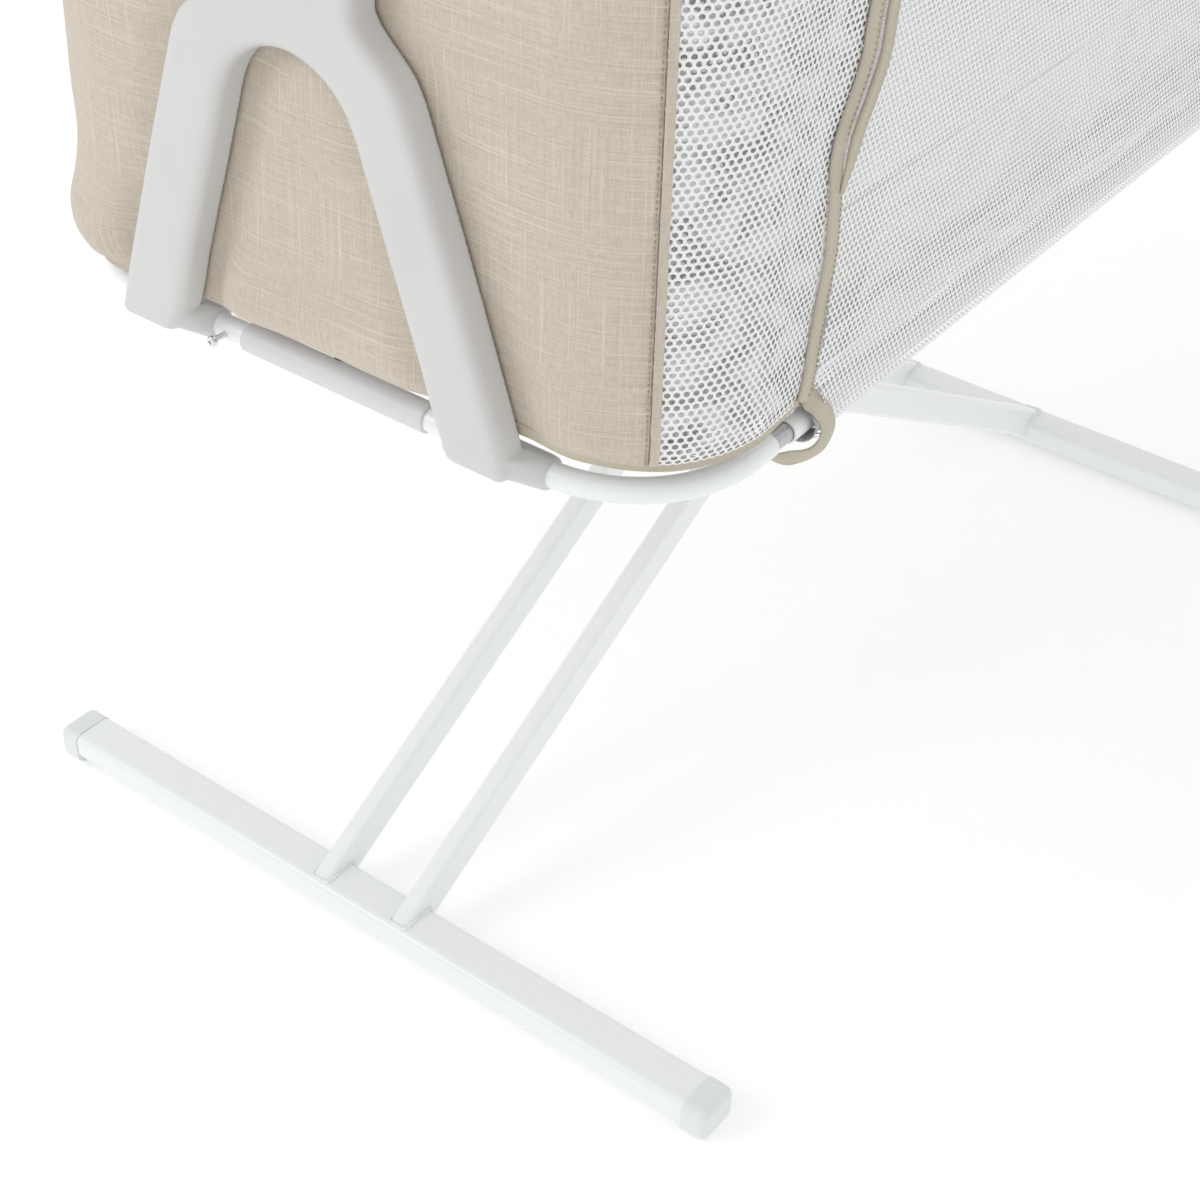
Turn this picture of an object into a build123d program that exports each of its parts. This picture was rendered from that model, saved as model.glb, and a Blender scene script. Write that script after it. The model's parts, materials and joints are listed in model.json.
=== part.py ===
"""A bedside baby cradle: a fabric basket on a lower tube ring, two A-shaped end brackets that
carry the top rail, a drop side, and a folding scissor stand with two flat feet.

Millimetres. +X runs along the basket, -Y is the drop side, +Z is up. The origin is on the floor,
under the middle of the cradle. "near" is the -X end and "far" is the +X end.
"""

from build123d import *
from math import atan2, cos, degrees, radians, sin, tan
import os

os.makedirs("parts", exist_ok=True)

# ---------------------------------------------------------------- driving dimensions
ENDS = {"near": -1, "far": 1}
SIDES = {"front": -1, "back": 1}

# Lower ring of round tube, which the basket hangs on.
RING_Z = 476.0
RING_HALF_X = 450.0
RING_HALF_Y = 247.0
CORNER_R = 84.0
TUBE_R = 8.0
TUBE_WALL = 1.3
SLEEVE_R = 9.7
SLEEVE_LENGTH = 150.0
END_SPLIT_Y = -26.0          # where the two corner tubes of an end meet, inside the sleeve
CORNER_END_X = 345.0         # a corner tube's cut end on the long side
SIDE_TUBE_END_X = 327.0      # the side tube's cut end, one neck away
NECK_R = 6.4

# Top rail.
RAIL_Z = 835.0
RAIL_R = 11.0
RAIL_WALL = 1.5
RAIL_SPLIT_X = 318.0
SOCKET_OUTER_X = 342.0
SOCKET_INNER_X = 270.0
PLUG_END_X = 297.0

# End brackets.
BRACKET_OUTER_X = 483.0
BRACKET_INNER_X = 459.0
BRACKET_TOP_Z = 857.0
BRACKET_FOOT_Z = 474.0
LEG_SLOPE = 1 / 3            # how far a bracket leg leans out for each unit it goes down
LEG_WIDTH = 48.0
COLUMN_HALF = 53.0
SHOULDER_Z = 727.0
ARCH_R = 52.3
ARCH_Z = 644.7
SHELL_WALL = 3.0

# Basket fabric.
WALL_OUT = 6.0               # outer face, outside the ring's centre line
WALL_THICK = 4.0
HEM_Z = 492.0
WALL_TOP_Z = 818.0
SEAM_ANGLE = 41.0            # where linen meets mesh, around the front corners
ZIP_LOW_X = 296.0            # the drop side's two zips stand straight up to here, and
ZIP_LEAN_Z = 626.0           # lean in above it, to the width of the rail's cover
ZIP_TOP_X = 258.0
DROP_HINGE_Z = 612.0
DROP_HINGE_Y = -256.0

# Stand.
FOOT_X = 449.0
FOOT_HALF_Y = 297.0
FOOT_W = 35.0
FOOT_H = 22.0
FOOT_GAP = 5.5               # the tube floats this far above the floor, on its end caps
CAP_LENGTH = 20.0
STRUT_W = 15.5
STRUT_D = 28.0
STRUT_OFFSET = 15.9          # from the foot's middle to the strut's axis, at the foot's top
INNER_Y = 38.2
OUTER_Y = 69.0
LEG_ANGLE = 29.8
LEG_AXIS_Z = 443.0
TOP_TUBE_R = 10.0
TOP_TUBE_HALF_Y = 150.0
SLOT_TRAVEL = 93.0

# Worked out from the above.
FOOT_TOP_Z = FOOT_GAP + FOOT_H
LEG_TAN = tan(radians(LEG_ANGLE))
STRUT_FOOT_X = FOOT_X - STRUT_OFFSET
CROSS_Z = FOOT_TOP_Z + STRUT_FOOT_X * LEG_TAN
LEG_AXIS_X = (LEG_AXIS_Z - FOOT_TOP_Z) / LEG_TAN - STRUT_FOOT_X
CROSS_RAIL_TOP_Z = 484.0
CROSS_RAIL_BOTTOM_Z = 464.0


def save(builder, label):
    """Label a finished piece and write its STEP file."""
    builder.part.label = label
    export_step(builder.part, f"parts/{label}.step")


def along_y(x, y, z):
    """A sketch plane square to Y, looking along +Y, with its origin at the given point."""
    return Plane(origin=(x, y, z), x_dir=(1, 0, 0), z_dir=(0, 1, 0))


def along_x(x, y, z):
    """A sketch plane square to X, looking along +X, with its origin at the given point."""
    return Plane(origin=(x, y, z), x_dir=(0, 1, 0), z_dir=(1, 0, 0))


def bent_tube(points, height, outer_r, inner_r, holes=()):
    """A round tube along a flat path of straight runs joined by the ring's corner bends.

    Each hole is a plane on the tube's axis, a radius, and how far it cuts along the normal.
    """
    with BuildPart() as tube:
        with BuildLine(Plane.XY.offset(height)) as path:
            FilletPolyline(*points, radius=CORNER_R)
        with BuildSketch(path.line ^ 0):
            Circle(outer_r)
            Circle(inner_r, mode=Mode.SUBTRACT)
        sweep(path=path.wire())
        for hole_plane, hole_r, depth in holes:
            with BuildSketch(hole_plane):
                Circle(hole_r)
            extrude(amount=depth, mode=Mode.SUBTRACT)
    return tube


def straight_tube(plane, length, outer_r, inner_r):
    """A straight round tube that starts on the plane and runs along its normal."""
    with BuildPart() as tube:
        with BuildSketch(plane):
            Circle(outer_r)
            Circle(inner_r, mode=Mode.SUBTRACT)
        extrude(amount=length)
    return tube


FAR_OUT = 700.0              # further out than any part of the cradle


def basket_outline(offset):
    """The rounded rectangle of the ring's centre line, grown by an offset."""
    return RectangleRounded(2 * (RING_HALF_X + offset), 2 * (RING_HALF_Y + offset), CORNER_R + offset)


def zip_x(z):
    """How far out along X a zip is, at a height."""
    lean = (ZIP_LOW_X - ZIP_TOP_X) / (WALL_TOP_Z - ZIP_LEAN_Z)
    return ZIP_LOW_X - max(0.0, z - ZIP_LEAN_Z) * lean


def wall_piece(cut_points, bottom, top, front_outline=None):
    """A stretch of the basket's wall: the wall's band in plan, kept inside a polygon.

    A front outline is a second polygon, in X and Z, that the stretch is also kept inside.
    """
    with BuildPart() as wall:
        with BuildSketch(Plane.XY.offset(bottom)):
            basket_outline(WALL_OUT)
            offset(amount=-WALL_THICK, mode=Mode.SUBTRACT)
            with BuildSketch(mode=Mode.INTERSECT):
                with BuildLine():
                    Polyline(*cut_points, close=True)
                make_face()
        extrude(amount=top - bottom)
        if front_outline:
            with BuildSketch(along_y(0, -FAR_OUT, 0)):
                with BuildLine():
                    Polyline(*[(x, -z) for x, z in front_outline], close=True)
                make_face()
            extrude(amount=2 * FAR_OUT, mode=Mode.INTERSECT)
    return wall


# ---------------------------------------------------------------- lower ring
BUTTON_Y = 4.0
BUTTON_R = 4.0
BUTTON_TRAVEL = 2.5
SCREW_Y = 89.0
SCREW_R = 2.0


def button_plane(end, radius):
    """A plane square to the snap button's axis, which leans in and up by 45 degrees."""
    lean = radians(45)
    normal = (-end * sin(lean), 0, cos(lean))
    origin = (end * RING_HALF_X + normal[0] * radius, BUTTON_Y, RING_Z + normal[2] * radius)
    return Plane(origin=origin, x_dir=(0, 1, 0), z_dir=normal)


for end_name, end in ENDS.items():
    for side_name, side in SIDES.items():
        corner_points = [
            (end * RING_HALF_X, END_SPLIT_Y + side * 0.5),
            (end * RING_HALF_X, side * RING_HALF_Y),
            (end * CORNER_END_X, side * RING_HALF_Y),
        ]
        screw_plane = along_x(end * RING_HALF_X, SCREW_Y, RING_Z)
        back_holes = [(button_plane(end, 2), BUTTON_R + 0.1, 10), (screw_plane, SCREW_R + 0.05, end * 10)]
        holes = back_holes if side_name == "back" else []
        corner = bent_tube(corner_points, RING_Z, TUBE_R, TUBE_R - TUBE_WALL, holes)
        save(corner, f"ring_corner_{end_name}_{side_name}")

    with BuildPart() as end_sleeve:
        with BuildSketch(along_y(end * RING_HALF_X, -SLEEVE_LENGTH / 2, RING_Z)):
            Circle(SLEEVE_R)
        extrude(amount=SLEEVE_LENGTH)
        chamfer(end_sleeve.edges().filter_by(GeomType.CIRCLE), length=1.0)
        with BuildSketch(along_y(end * RING_HALF_X, -SLEEVE_LENGTH / 2, RING_Z)):
            Circle(TUBE_R + 0.05)
        extrude(amount=SLEEVE_LENGTH, mode=Mode.SUBTRACT)
        with BuildSketch(button_plane(end, 2)):
            Circle(BUTTON_R + 0.1)
        extrude(amount=10, mode=Mode.SUBTRACT)
    save(end_sleeve, f"end_sleeve_{end_name}")

    with BuildPart() as snap_button:
        with BuildSketch(button_plane(end, 3.4)):
            Circle(BUTTON_R)
        extrude(amount=9.0)
        fillet(snap_button.edges().filter_by(GeomType.CIRCLE), radius=1.4)
    save(snap_button, f"snap_button_{end_name}")

for side_name, side in SIDES.items():
    tube_start = along_x(-SIDE_TUBE_END_X, side * RING_HALF_Y, RING_Z)
    side_tube = straight_tube(tube_start, 2 * SIDE_TUBE_END_X, TUBE_R, TUBE_R - TUBE_WALL)
    save(side_tube, f"side_tube_{side_name}")

# Necks that join the corner tubes to the side tubes, and inserts that join the back rail.
NECK_REACH = 24.0
with BuildPart() as tube_connectors:
    for end in ENDS.values():
        for side in SIDES.values():
            start = end * (SIDE_TUBE_END_X - NECK_REACH)
            with BuildSketch(along_x(start, side * RING_HALF_Y, RING_Z)):
                Circle(NECK_R)
            extrude(amount=end * (CORNER_END_X - SIDE_TUBE_END_X + 2 * NECK_REACH - 5))
        with BuildSketch(along_x(end * (RAIL_SPLIT_X - 30), RING_HALF_Y, RAIL_Z)):
            Circle(RAIL_R - RAIL_WALL - 0.1)
        extrude(amount=end * 60)
save(tube_connectors, "tube_connectors")

# The cross-headed machine screw that pins each sleeve joint stands proud of its tube.
SCREW_PROUD = 13.0
with BuildPart() as ring_screws:
    for end in ENDS.values():
        head_x = end * (RING_HALF_X + TUBE_R + SCREW_PROUD)
        with BuildSketch(along_x(end * (RING_HALF_X + 2), SCREW_Y, RING_Z)):
            Circle(SCREW_R)
        extrude(amount=end * (TUBE_R + SCREW_PROUD - 2))
        with BuildSketch(along_x(head_x - end * 3.2, SCREW_Y, RING_Z)):
            Circle(3.6)
        extrude(amount=end * 3.2)
    fillet(ring_screws.edges().filter_by(GeomType.CIRCLE).filter_by(
        lambda edge: edge.radius > 3 and abs(edge.center().X) > RING_HALF_X + TUBE_R + SCREW_PROUD - 1),
        radius=1.3)
    for end in ENDS.values():
        head_x = end * (RING_HALF_X + TUBE_R + SCREW_PROUD)
        with BuildSketch(along_x(head_x - end * 1.4, SCREW_Y, RING_Z)):
            Rectangle(4.0, 0.9)
            Rectangle(0.9, 4.0)
        extrude(amount=end * 3, mode=Mode.SUBTRACT)
save(ring_screws, "ring_screws")


# ---------------------------------------------------------------- end brackets
LEG_LEAN = radians(18.43)
ARCH_SIDE_Z = ARCH_Z + ARCH_R * sin(LEG_LEAN)


def leg_edge(arch_edge, z):
    """Half-width of a bracket leg's inner (arch) or outer edge at a height."""
    inner = ARCH_R * cos(LEG_LEAN) + (ARCH_SIDE_Z - z) * LEG_SLOPE
    return inner if arch_edge else inner + LEG_WIDTH


SHOULDER_LOW_Z = 672.0
inner_foot = (leg_edge(True, BRACKET_FOOT_Z), BRACKET_FOOT_Z)
outer_foot = (leg_edge(False, BRACKET_FOOT_Z), BRACKET_FOOT_Z)
arch_side = (leg_edge(True, ARCH_SIDE_Z), ARCH_SIDE_Z)
arch_middle = (ARCH_R * sin(radians(36)), ARCH_Z + ARCH_R * cos(radians(36)))
shoulder_low = (leg_edge(False, SHOULDER_LOW_Z), SHOULDER_LOW_Z)

# The A-shaped face of a bracket, drawn on one half and mirrored.
with BuildSketch() as bracket_face:
    with BuildLine():
        Polyline((0, BRACKET_TOP_Z), (COLUMN_HALF, BRACKET_TOP_Z), (COLUMN_HALF, SHOULDER_Z))
        ThreePointArc((COLUMN_HALF, SHOULDER_Z), (78, 704), shoulder_low)
        Polyline(shoulder_low, outer_foot, inner_foot, arch_side)
        ThreePointArc(arch_side, arch_middle, (0, ARCH_Z + ARCH_R))
        mirror(about=Plane.YZ)
    make_face()
    fillet(bracket_face.vertices().sort_by(Axis.Y)[-2:], radius=26)
    fillet(bracket_face.vertices().filter_by(lambda v: v.Y < BRACKET_FOOT_Z + 1), radius=7)

FOOT_BOSS_R = 11.5
FOOT_BOSS_START = 101.0
FOOT_BOSS_END = 168.0
HEAD_BOSS_R = 17.0
POSTS = [(0, 724), (0, 790), (-107, 560), (107, 560)]
COVER_THICK = 3.0

POCKET_TOP_Z = RAIL_Z - HEAD_BOSS_R - 2

# The hollow in a shell's back, below the solid head that grips the rail.
with BuildSketch() as bracket_pocket:
    add(bracket_face.sketch)
    offset(amount=-SHELL_WALL - 4, mode=Mode.REPLACE)
    with Locations((0, POCKET_TOP_Z + 50)):
        Rectangle(4 * COLUMN_HALF, 100, mode=Mode.SUBTRACT)

for end_name, end in ENDS.items():
    face_plane = along_x(end * BRACKET_INNER_X, 0, 0)
    thickness = BRACKET_OUTER_X - BRACKET_INNER_X
    with BuildPart() as bracket_shell:
        with BuildSketch(face_plane):
            add(bracket_face.sketch)
        extrude(amount=end * thickness)
        outer_edges = bracket_shell.faces().sort_by(Axis.X)[-1 if end > 0 else 0].edges()
        fillet(outer_edges, radius=7.0)
        with BuildSketch(face_plane):
            add(bracket_pocket.sketch)
        extrude(amount=end * (thickness - SHELL_WALL), mode=Mode.SUBTRACT)
        with BuildSketch(along_x(end * (BRACKET_INNER_X + COVER_THICK + 0.2), 0, 0)):
            with Locations(*POSTS):
                Circle(5)
        extrude(amount=end * (thickness - COVER_THICK - 1.2))
        for side in SIDES.values():
            boss_start = along_y(end * RING_HALF_X, side * FOOT_BOSS_START, RING_Z)
            with BuildSketch(boss_start):
                Circle(FOOT_BOSS_R)
            extrude(amount=side * (FOOT_BOSS_END - FOOT_BOSS_START))
            bore_points = [
                (end * RING_HALF_X, side * (FOOT_BOSS_START - 10)),
                (end * RING_HALF_X, side * RING_HALF_Y),
                (end * CORNER_END_X, side * RING_HALF_Y),
            ]
            with BuildLine(Plane.XY.offset(RING_Z)) as bore_path:
                FilletPolyline(*bore_points, radius=CORNER_R)
            with BuildSketch(bore_path.line ^ 0):
                Circle(TUBE_R + 0.05)
            sweep(path=bore_path.wire(), mode=Mode.SUBTRACT)
        head_start = along_y(end * RING_HALF_X, -COLUMN_HALF, RAIL_Z)
        with BuildSketch(head_start):
            Circle(HEAD_BOSS_R)
        extrude(amount=2 * COLUMN_HALF)
        with BuildSketch(head_start):
            Circle(RAIL_R + 0.05)
        extrude(amount=2 * COLUMN_HALF, mode=Mode.SUBTRACT)
        with BuildSketch(along_x(end * (BRACKET_INNER_X - 1), 0, 0)):
            with Locations(*POSTS):
                Circle(1.6)
        extrude(amount=end * 16, mode=Mode.SUBTRACT)
    save(bracket_shell, f"bracket_shell_{end_name}")

    with BuildPart() as bracket_cover:
        with BuildSketch(face_plane):
            add(bracket_pocket.sketch)
            offset(amount=-0.3, mode=Mode.REPLACE)
        extrude(amount=end * COVER_THICK)
        for side in SIDES.values():
            with BuildSketch(along_y(end * RING_HALF_X, side * (FOOT_BOSS_START - 5), RING_Z)):
                Circle(FOOT_BOSS_R + 0.4)
            extrude(amount=side * 100, mode=Mode.SUBTRACT)
        with BuildSketch(along_y(end * RING_HALF_X, -COLUMN_HALF, RAIL_Z)):
            Circle(HEAD_BOSS_R + 0.4)
        extrude(amount=2 * COLUMN_HALF, mode=Mode.SUBTRACT)
        with BuildSketch(face_plane):
            with Locations(*POSTS):
                Circle(1.6)
        extrude(amount=end * COVER_THICK, mode=Mode.SUBTRACT)
    save(bracket_cover, f"bracket_cover_{end_name}")

COVER_SCREW_HEAD = 1.4
with BuildPart() as bracket_screws:
    for end in ENDS.values():
        with BuildSketch(along_x(end * BRACKET_INNER_X, 0, 0)):
            with Locations(*POSTS):
                Circle(3.0)
        extrude(amount=-end * COVER_SCREW_HEAD)
        with BuildSketch(along_x(end * BRACKET_INNER_X, 0, 0)):
            with Locations(*POSTS):
                Circle(1.55)
        extrude(amount=end * 12)
save(bracket_screws, "bracket_screws")


# ---------------------------------------------------------------- stand carriers under the basket
CROSS_RAIL_HALF_W = 15.0
PIVOT_BRACKET_Y = 130.0
PIVOT_BRACKET_W = 24.0
SLOT_BRACKET_Y = 124.0
SLOT_BRACKET_W = 12.0
SLOT_BOTTOM_Z = 423.0
RUNNING_GAP = 0.08
SLOT_GAP = 0.35

with BuildPart() as cross_rails:
    for end in ENDS.values():
        with BuildSketch(along_y(end * LEG_AXIS_X, -RING_HALF_Y, 0)):
            with Locations((0, -(CROSS_RAIL_TOP_Z + CROSS_RAIL_BOTTOM_Z) / 2)):
                RectangleRounded(2 * CROSS_RAIL_HALF_W, CROSS_RAIL_TOP_Z - CROSS_RAIL_BOTTOM_Z, 3)
                RectangleRounded(2 * CROSS_RAIL_HALF_W - 3, CROSS_RAIL_TOP_Z - CROSS_RAIL_BOTTOM_Z - 3, 2,
                                 mode=Mode.SUBTRACT)
        extrude(amount=2 * RING_HALF_Y)
        for side in SIDES.values():
            with BuildSketch(along_x(0, side * RING_HALF_Y, RING_Z)):
                Circle(TUBE_R + 0.05)
            extrude(amount=end * RING_HALF_X, mode=Mode.SUBTRACT)
            with BuildSketch(along_x(0, side * RING_HALF_Y, RING_Z)):
                with Locations((side * 10, 0)):
                    Rectangle(20, 40)
            extrude(amount=end * RING_HALF_X, mode=Mode.SUBTRACT)
save(cross_rails, "cross_rails")

# The outer legs' top tube turns in these two blocks, under the near cross rail.
with BuildPart() as pivot_brackets:
    for side in SIDES.values():
        start_y = side * PIVOT_BRACKET_Y - PIVOT_BRACKET_W / 2
        with BuildSketch(along_y(-LEG_AXIS_X, start_y, LEG_AXIS_Z)):
            Circle(16)
            with Locations((0, -(CROSS_RAIL_BOTTOM_Z - LEG_AXIS_Z) / 2)):
                Rectangle(32, CROSS_RAIL_BOTTOM_Z - LEG_AXIS_Z)
            Circle(TOP_TUBE_R + RUNNING_GAP, mode=Mode.SUBTRACT)
        extrude(amount=PIVOT_BRACKET_W)
save(pivot_brackets, "pivot_brackets")

# The inner legs' top tube slides along these two slotted plates as the stand folds.
with BuildPart() as slot_brackets:
    for side in SIDES.values():
        start_y = side * SLOT_BRACKET_Y - SLOT_BRACKET_W / 2
        slot_half = TOP_TUBE_R + SLOT_GAP
        with BuildSketch(along_y(LEG_AXIS_X, start_y, 0)):
            with Locations((SLOT_TRAVEL / 2 + 1, -(CROSS_RAIL_BOTTOM_Z + SLOT_BOTTOM_Z) / 2)):
                RectangleRounded(SLOT_TRAVEL + 46, CROSS_RAIL_BOTTOM_Z - SLOT_BOTTOM_Z, 6)
            with Locations((SLOT_TRAVEL / 2, -LEG_AXIS_Z)):
                SlotCenterToCenter(SLOT_TRAVEL, 2 * slot_half, mode=Mode.SUBTRACT)
        extrude(amount=SLOT_BRACKET_W)
save(slot_brackets, "slot_brackets")


# ---------------------------------------------------------------- bed
BOARD_THICK = 5.0
MATTRESS_THICK = 40.0
with BuildPart() as base_board:
    with BuildSketch(Plane.XY.offset(CROSS_RAIL_TOP_Z)):
        basket_outline(-16)
    extrude(amount=BOARD_THICK)
save(base_board, "base_board")

with BuildPart() as mattress:
    with BuildSketch(Plane.XY.offset(CROSS_RAIL_TOP_Z + BOARD_THICK)):
        basket_outline(-13)
    extrude(amount=MATTRESS_THICK)
    fillet(mattress.faces().sort_by(Axis.Z)[-1].edges(), radius=12)
save(mattress, "mattress")


# ---------------------------------------------------------------- top rail
for end_name, end in ENDS.items():
    rail_points = [
        (end * RAIL_SPLIT_X, -RING_HALF_Y),
        (end * RING_HALF_X, -RING_HALF_Y),
        (end * RING_HALF_X, RING_HALF_Y),
        (end * RAIL_SPLIT_X, RING_HALF_Y),
    ]
    top_rail_end = bent_tube(rail_points, RAIL_Z, RAIL_R, RAIL_R - RAIL_WALL)
    save(top_rail_end, f"top_rail_{end_name}")

back_start = along_x(-RAIL_SPLIT_X + 0.3, RING_HALF_Y, RAIL_Z)
top_rail_back = straight_tube(back_start, 2 * RAIL_SPLIT_X - 0.6, RAIL_R, RAIL_R - RAIL_WALL)
save(top_rail_back, "top_rail_back")

# Moulded sockets: a closed sleeve on the rail's end, then a cradle that is open to the front.
SOCKET_WALL = 3.6
CRADLE_GAP = 0.7
for end_name, end in ENDS.items():
    cradle_length = RAIL_SPLIT_X - 6 - SOCKET_INNER_X
    with BuildPart() as rail_socket:
        with BuildSketch(along_x(end * SOCKET_INNER_X, -RING_HALF_Y, RAIL_Z)):
            Circle(RAIL_R + SOCKET_WALL)
        extrude(amount=end * (SOCKET_OUTER_X - SOCKET_INNER_X))
        fillet(rail_socket.edges().filter_by(GeomType.CIRCLE), radius=1.2)
        with BuildSketch(along_x(end * (RAIL_SPLIT_X - 1), -RING_HALF_Y, RAIL_Z)):
            Circle(RAIL_R + 0.05)
        extrude(amount=end * 60, mode=Mode.SUBTRACT)
        with BuildSketch(along_x(end * (SOCKET_INNER_X - 1), -RING_HALF_Y, RAIL_Z)):
            Circle(RAIL_R + CRADLE_GAP)
            with Locations((-20, 0)):
                Rectangle(40, 2 * (RAIL_R + CRADLE_GAP))
        extrude(amount=end * (cradle_length + 1), mode=Mode.SUBTRACT)
    save(rail_socket, f"rail_socket_{end_name}")

# The drop side's rail, with a plug in each end that lies in its cradle.
FRONT_RAIL_END_X = SOCKET_INNER_X + 6
LOCK_BUTTON_X = 288.0
LOCK_BUTTON_R = 5.5
LOCK_TRAVEL = 2.5
front_start = along_x(-FRONT_RAIL_END_X, -RING_HALF_Y, RAIL_Z)
front_rail = straight_tube(front_start, 2 * FRONT_RAIL_END_X, RAIL_R, RAIL_R - RAIL_WALL)
save(front_rail, "front_rail")

with BuildPart() as front_rail_plugs:
    for end in ENDS.values():
        with BuildSketch(along_x(end * (FRONT_RAIL_END_X + 0.1), -RING_HALF_Y, RAIL_Z)):
            Circle(RAIL_R)
        extrude(amount=end * (PLUG_END_X + 10 - FRONT_RAIL_END_X))
        with BuildSketch(along_x(end * (FRONT_RAIL_END_X - 16), -RING_HALF_Y, RAIL_Z)):
            Circle(RAIL_R - RAIL_WALL - 0.1)
        extrude(amount=end * 17)
        with BuildSketch(Plane(origin=(end * (LOCK_BUTTON_X + 4), -RING_HALF_Y + 1, RAIL_Z),
                               x_dir=(1, 0, 0), z_dir=(0, -1, 0))):
            Circle(LOCK_BUTTON_R + 0.15)
        extrude(amount=20, mode=Mode.SUBTRACT)
save(front_rail_plugs, "front_rail_plugs")

for end_name, end in ENDS.items():
    with BuildPart() as lock_button:
        with BuildSketch(Plane(origin=(end * (LOCK_BUTTON_X + 4), -RING_HALF_Y + 1 - LOCK_TRAVEL - 0.5, RAIL_Z),
                               x_dir=(1, 0, 0), z_dir=(0, -1, 0))):
            Circle(LOCK_BUTTON_R)
        extrude(amount=RAIL_R - LOCK_TRAVEL + 2.6)
        fillet(lock_button.faces().sort_by(Axis.Y)[0].edges(), radius=1.2)
    save(lock_button, f"lock_button_{end_name}")


# ---------------------------------------------------------------- basket fabric
seam_run = FAR_OUT - (RING_HALF_X - CORNER_R)
seam_drop = seam_run * tan(radians(SEAM_ANGLE))
corner_x = RING_HALF_X - CORNER_R
corner_y = RING_HALF_Y - CORNER_R

for end_name, end in ENDS.items():
    end_cut = [
        (end * corner_x, FAR_OUT),
        (end * FAR_OUT, FAR_OUT),
        (end * FAR_OUT, -corner_y - seam_drop),
        (end * corner_x, -corner_y),
    ]
    end_panel = wall_piece(end_cut, HEM_Z, WALL_TOP_Z)
    save(end_panel, f"end_panel_{end_name}")

    mesh_cut = [
        (end * corner_x, -corner_y - 2),
        (end * FAR_OUT, -corner_y - seam_drop - 2),
        (end * FAR_OUT, -FAR_OUT),
        (end * ZIP_TOP_X, -FAR_OUT),
        (end * ZIP_TOP_X, -corner_y - 2),
    ]
    zip_edge = [
        (end * ZIP_LOW_X, HEM_Z - 1),
        (end * ZIP_LOW_X, ZIP_LEAN_Z),
        (end * ZIP_TOP_X, WALL_TOP_Z),
        (end * FAR_OUT, WALL_TOP_Z),
        (end * FAR_OUT, HEM_Z - 1),
    ]
    corner_mesh = wall_piece(mesh_cut, HEM_Z, WALL_TOP_Z, zip_edge)
    save(corner_mesh, f"corner_mesh_{end_name}")

back_x = corner_x - 0.5
back_panel = wall_piece([(-back_x, 0), (back_x, 0), (back_x, FAR_OUT), (-back_x, FAR_OUT)],
                        HEM_Z, WALL_TOP_Z)
save(back_panel, "back_panel")

wall_x = ZIP_LOW_X - 0.5
front_wall = wall_piece([(-wall_x, 0), (wall_x, 0), (wall_x, -FAR_OUT), (-wall_x, -FAR_OUT)],
                        HEM_Z, DROP_HINGE_Z - 2)
save(front_wall, "front_wall")

PANEL_GAP = 3.0
drop_x = ZIP_LOW_X - PANEL_GAP
drop_outline = [
    (-drop_x, DROP_HINGE_Z),
    (-drop_x, ZIP_LEAN_Z),
    (-ZIP_TOP_X + PANEL_GAP, WALL_TOP_Z),
    (ZIP_TOP_X - PANEL_GAP, WALL_TOP_Z),
    (drop_x, ZIP_LEAN_Z),
    (drop_x, DROP_HINGE_Z),
]
drop_panel = wall_piece([(-drop_x, 0), (drop_x, 0), (drop_x, -FAR_OUT), (-drop_x, -FAR_OUT)],
                        DROP_HINGE_Z + 2, WALL_TOP_Z, drop_outline)
save(drop_panel, "drop_panel")

# Fabric covers round the top rail, broken where the brackets and the sockets are.
COVER_R = 15.0
COVER_BORE_R = RAIL_R + 0.4
COVER_BREAK_Y = COLUMN_HALF + 3
with BuildPart() as rail_cover:
    for end in ENDS.values():
        for side in SIDES.values():
            cover_points = [
                (end * (SOCKET_OUTER_X + 2), side * RING_HALF_Y),
                (end * RING_HALF_X, side * RING_HALF_Y),
                (end * RING_HALF_X, side * COVER_BREAK_Y),
            ]
            with BuildLine(Plane.XY.offset(RAIL_Z)) as cover_path:
                FilletPolyline(*cover_points, radius=CORNER_R)
            with BuildSketch(cover_path.line ^ 0):
                Circle(COVER_R)
                Circle(COVER_BORE_R, mode=Mode.SUBTRACT)
            sweep(path=cover_path.wire())
    with BuildSketch(along_x(-SOCKET_OUTER_X, RING_HALF_Y, RAIL_Z)):
        Circle(COVER_R)
        Circle(COVER_BORE_R, mode=Mode.SUBTRACT)
    extrude(amount=2 * SOCKET_OUTER_X)
save(rail_cover, "rail_cover")

front_cover_x = SOCKET_INNER_X - 3
cover_start = along_x(-front_cover_x, -RING_HALF_Y, RAIL_Z)
save(straight_tube(cover_start, 2 * front_cover_x, COVER_R, COVER_BORE_R), "rail_cover_front")

# Mesh tunnels that the side tubes run through, slit where the cross rails come in.
TUNNEL_R = 12.0
TUNNEL_BORE_R = TUBE_R + 0.6
TUNNEL_X = 312.0
with BuildPart() as side_tunnels:
    for side in SIDES.values():
        with BuildSketch(along_x(-TUNNEL_X, side * RING_HALF_Y, RING_Z)):
            Circle(TUNNEL_R)
            Circle(TUNNEL_BORE_R, mode=Mode.SUBTRACT)
        extrude(amount=2 * TUNNEL_X)
        for end in ENDS.values():
            slit_z = (CROSS_RAIL_TOP_Z + CROSS_RAIL_BOTTOM_Z) / 2
            with Locations((end * LEG_AXIS_X, side * (RING_HALF_Y - 10), slit_z)):
                Box(2 * CROSS_RAIL_HALF_W + 2, 20, CROSS_RAIL_TOP_Z - CROSS_RAIL_BOTTOM_Z + 12,
                    mode=Mode.SUBTRACT)
save(side_tunnels, "side_tunnels")

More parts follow.
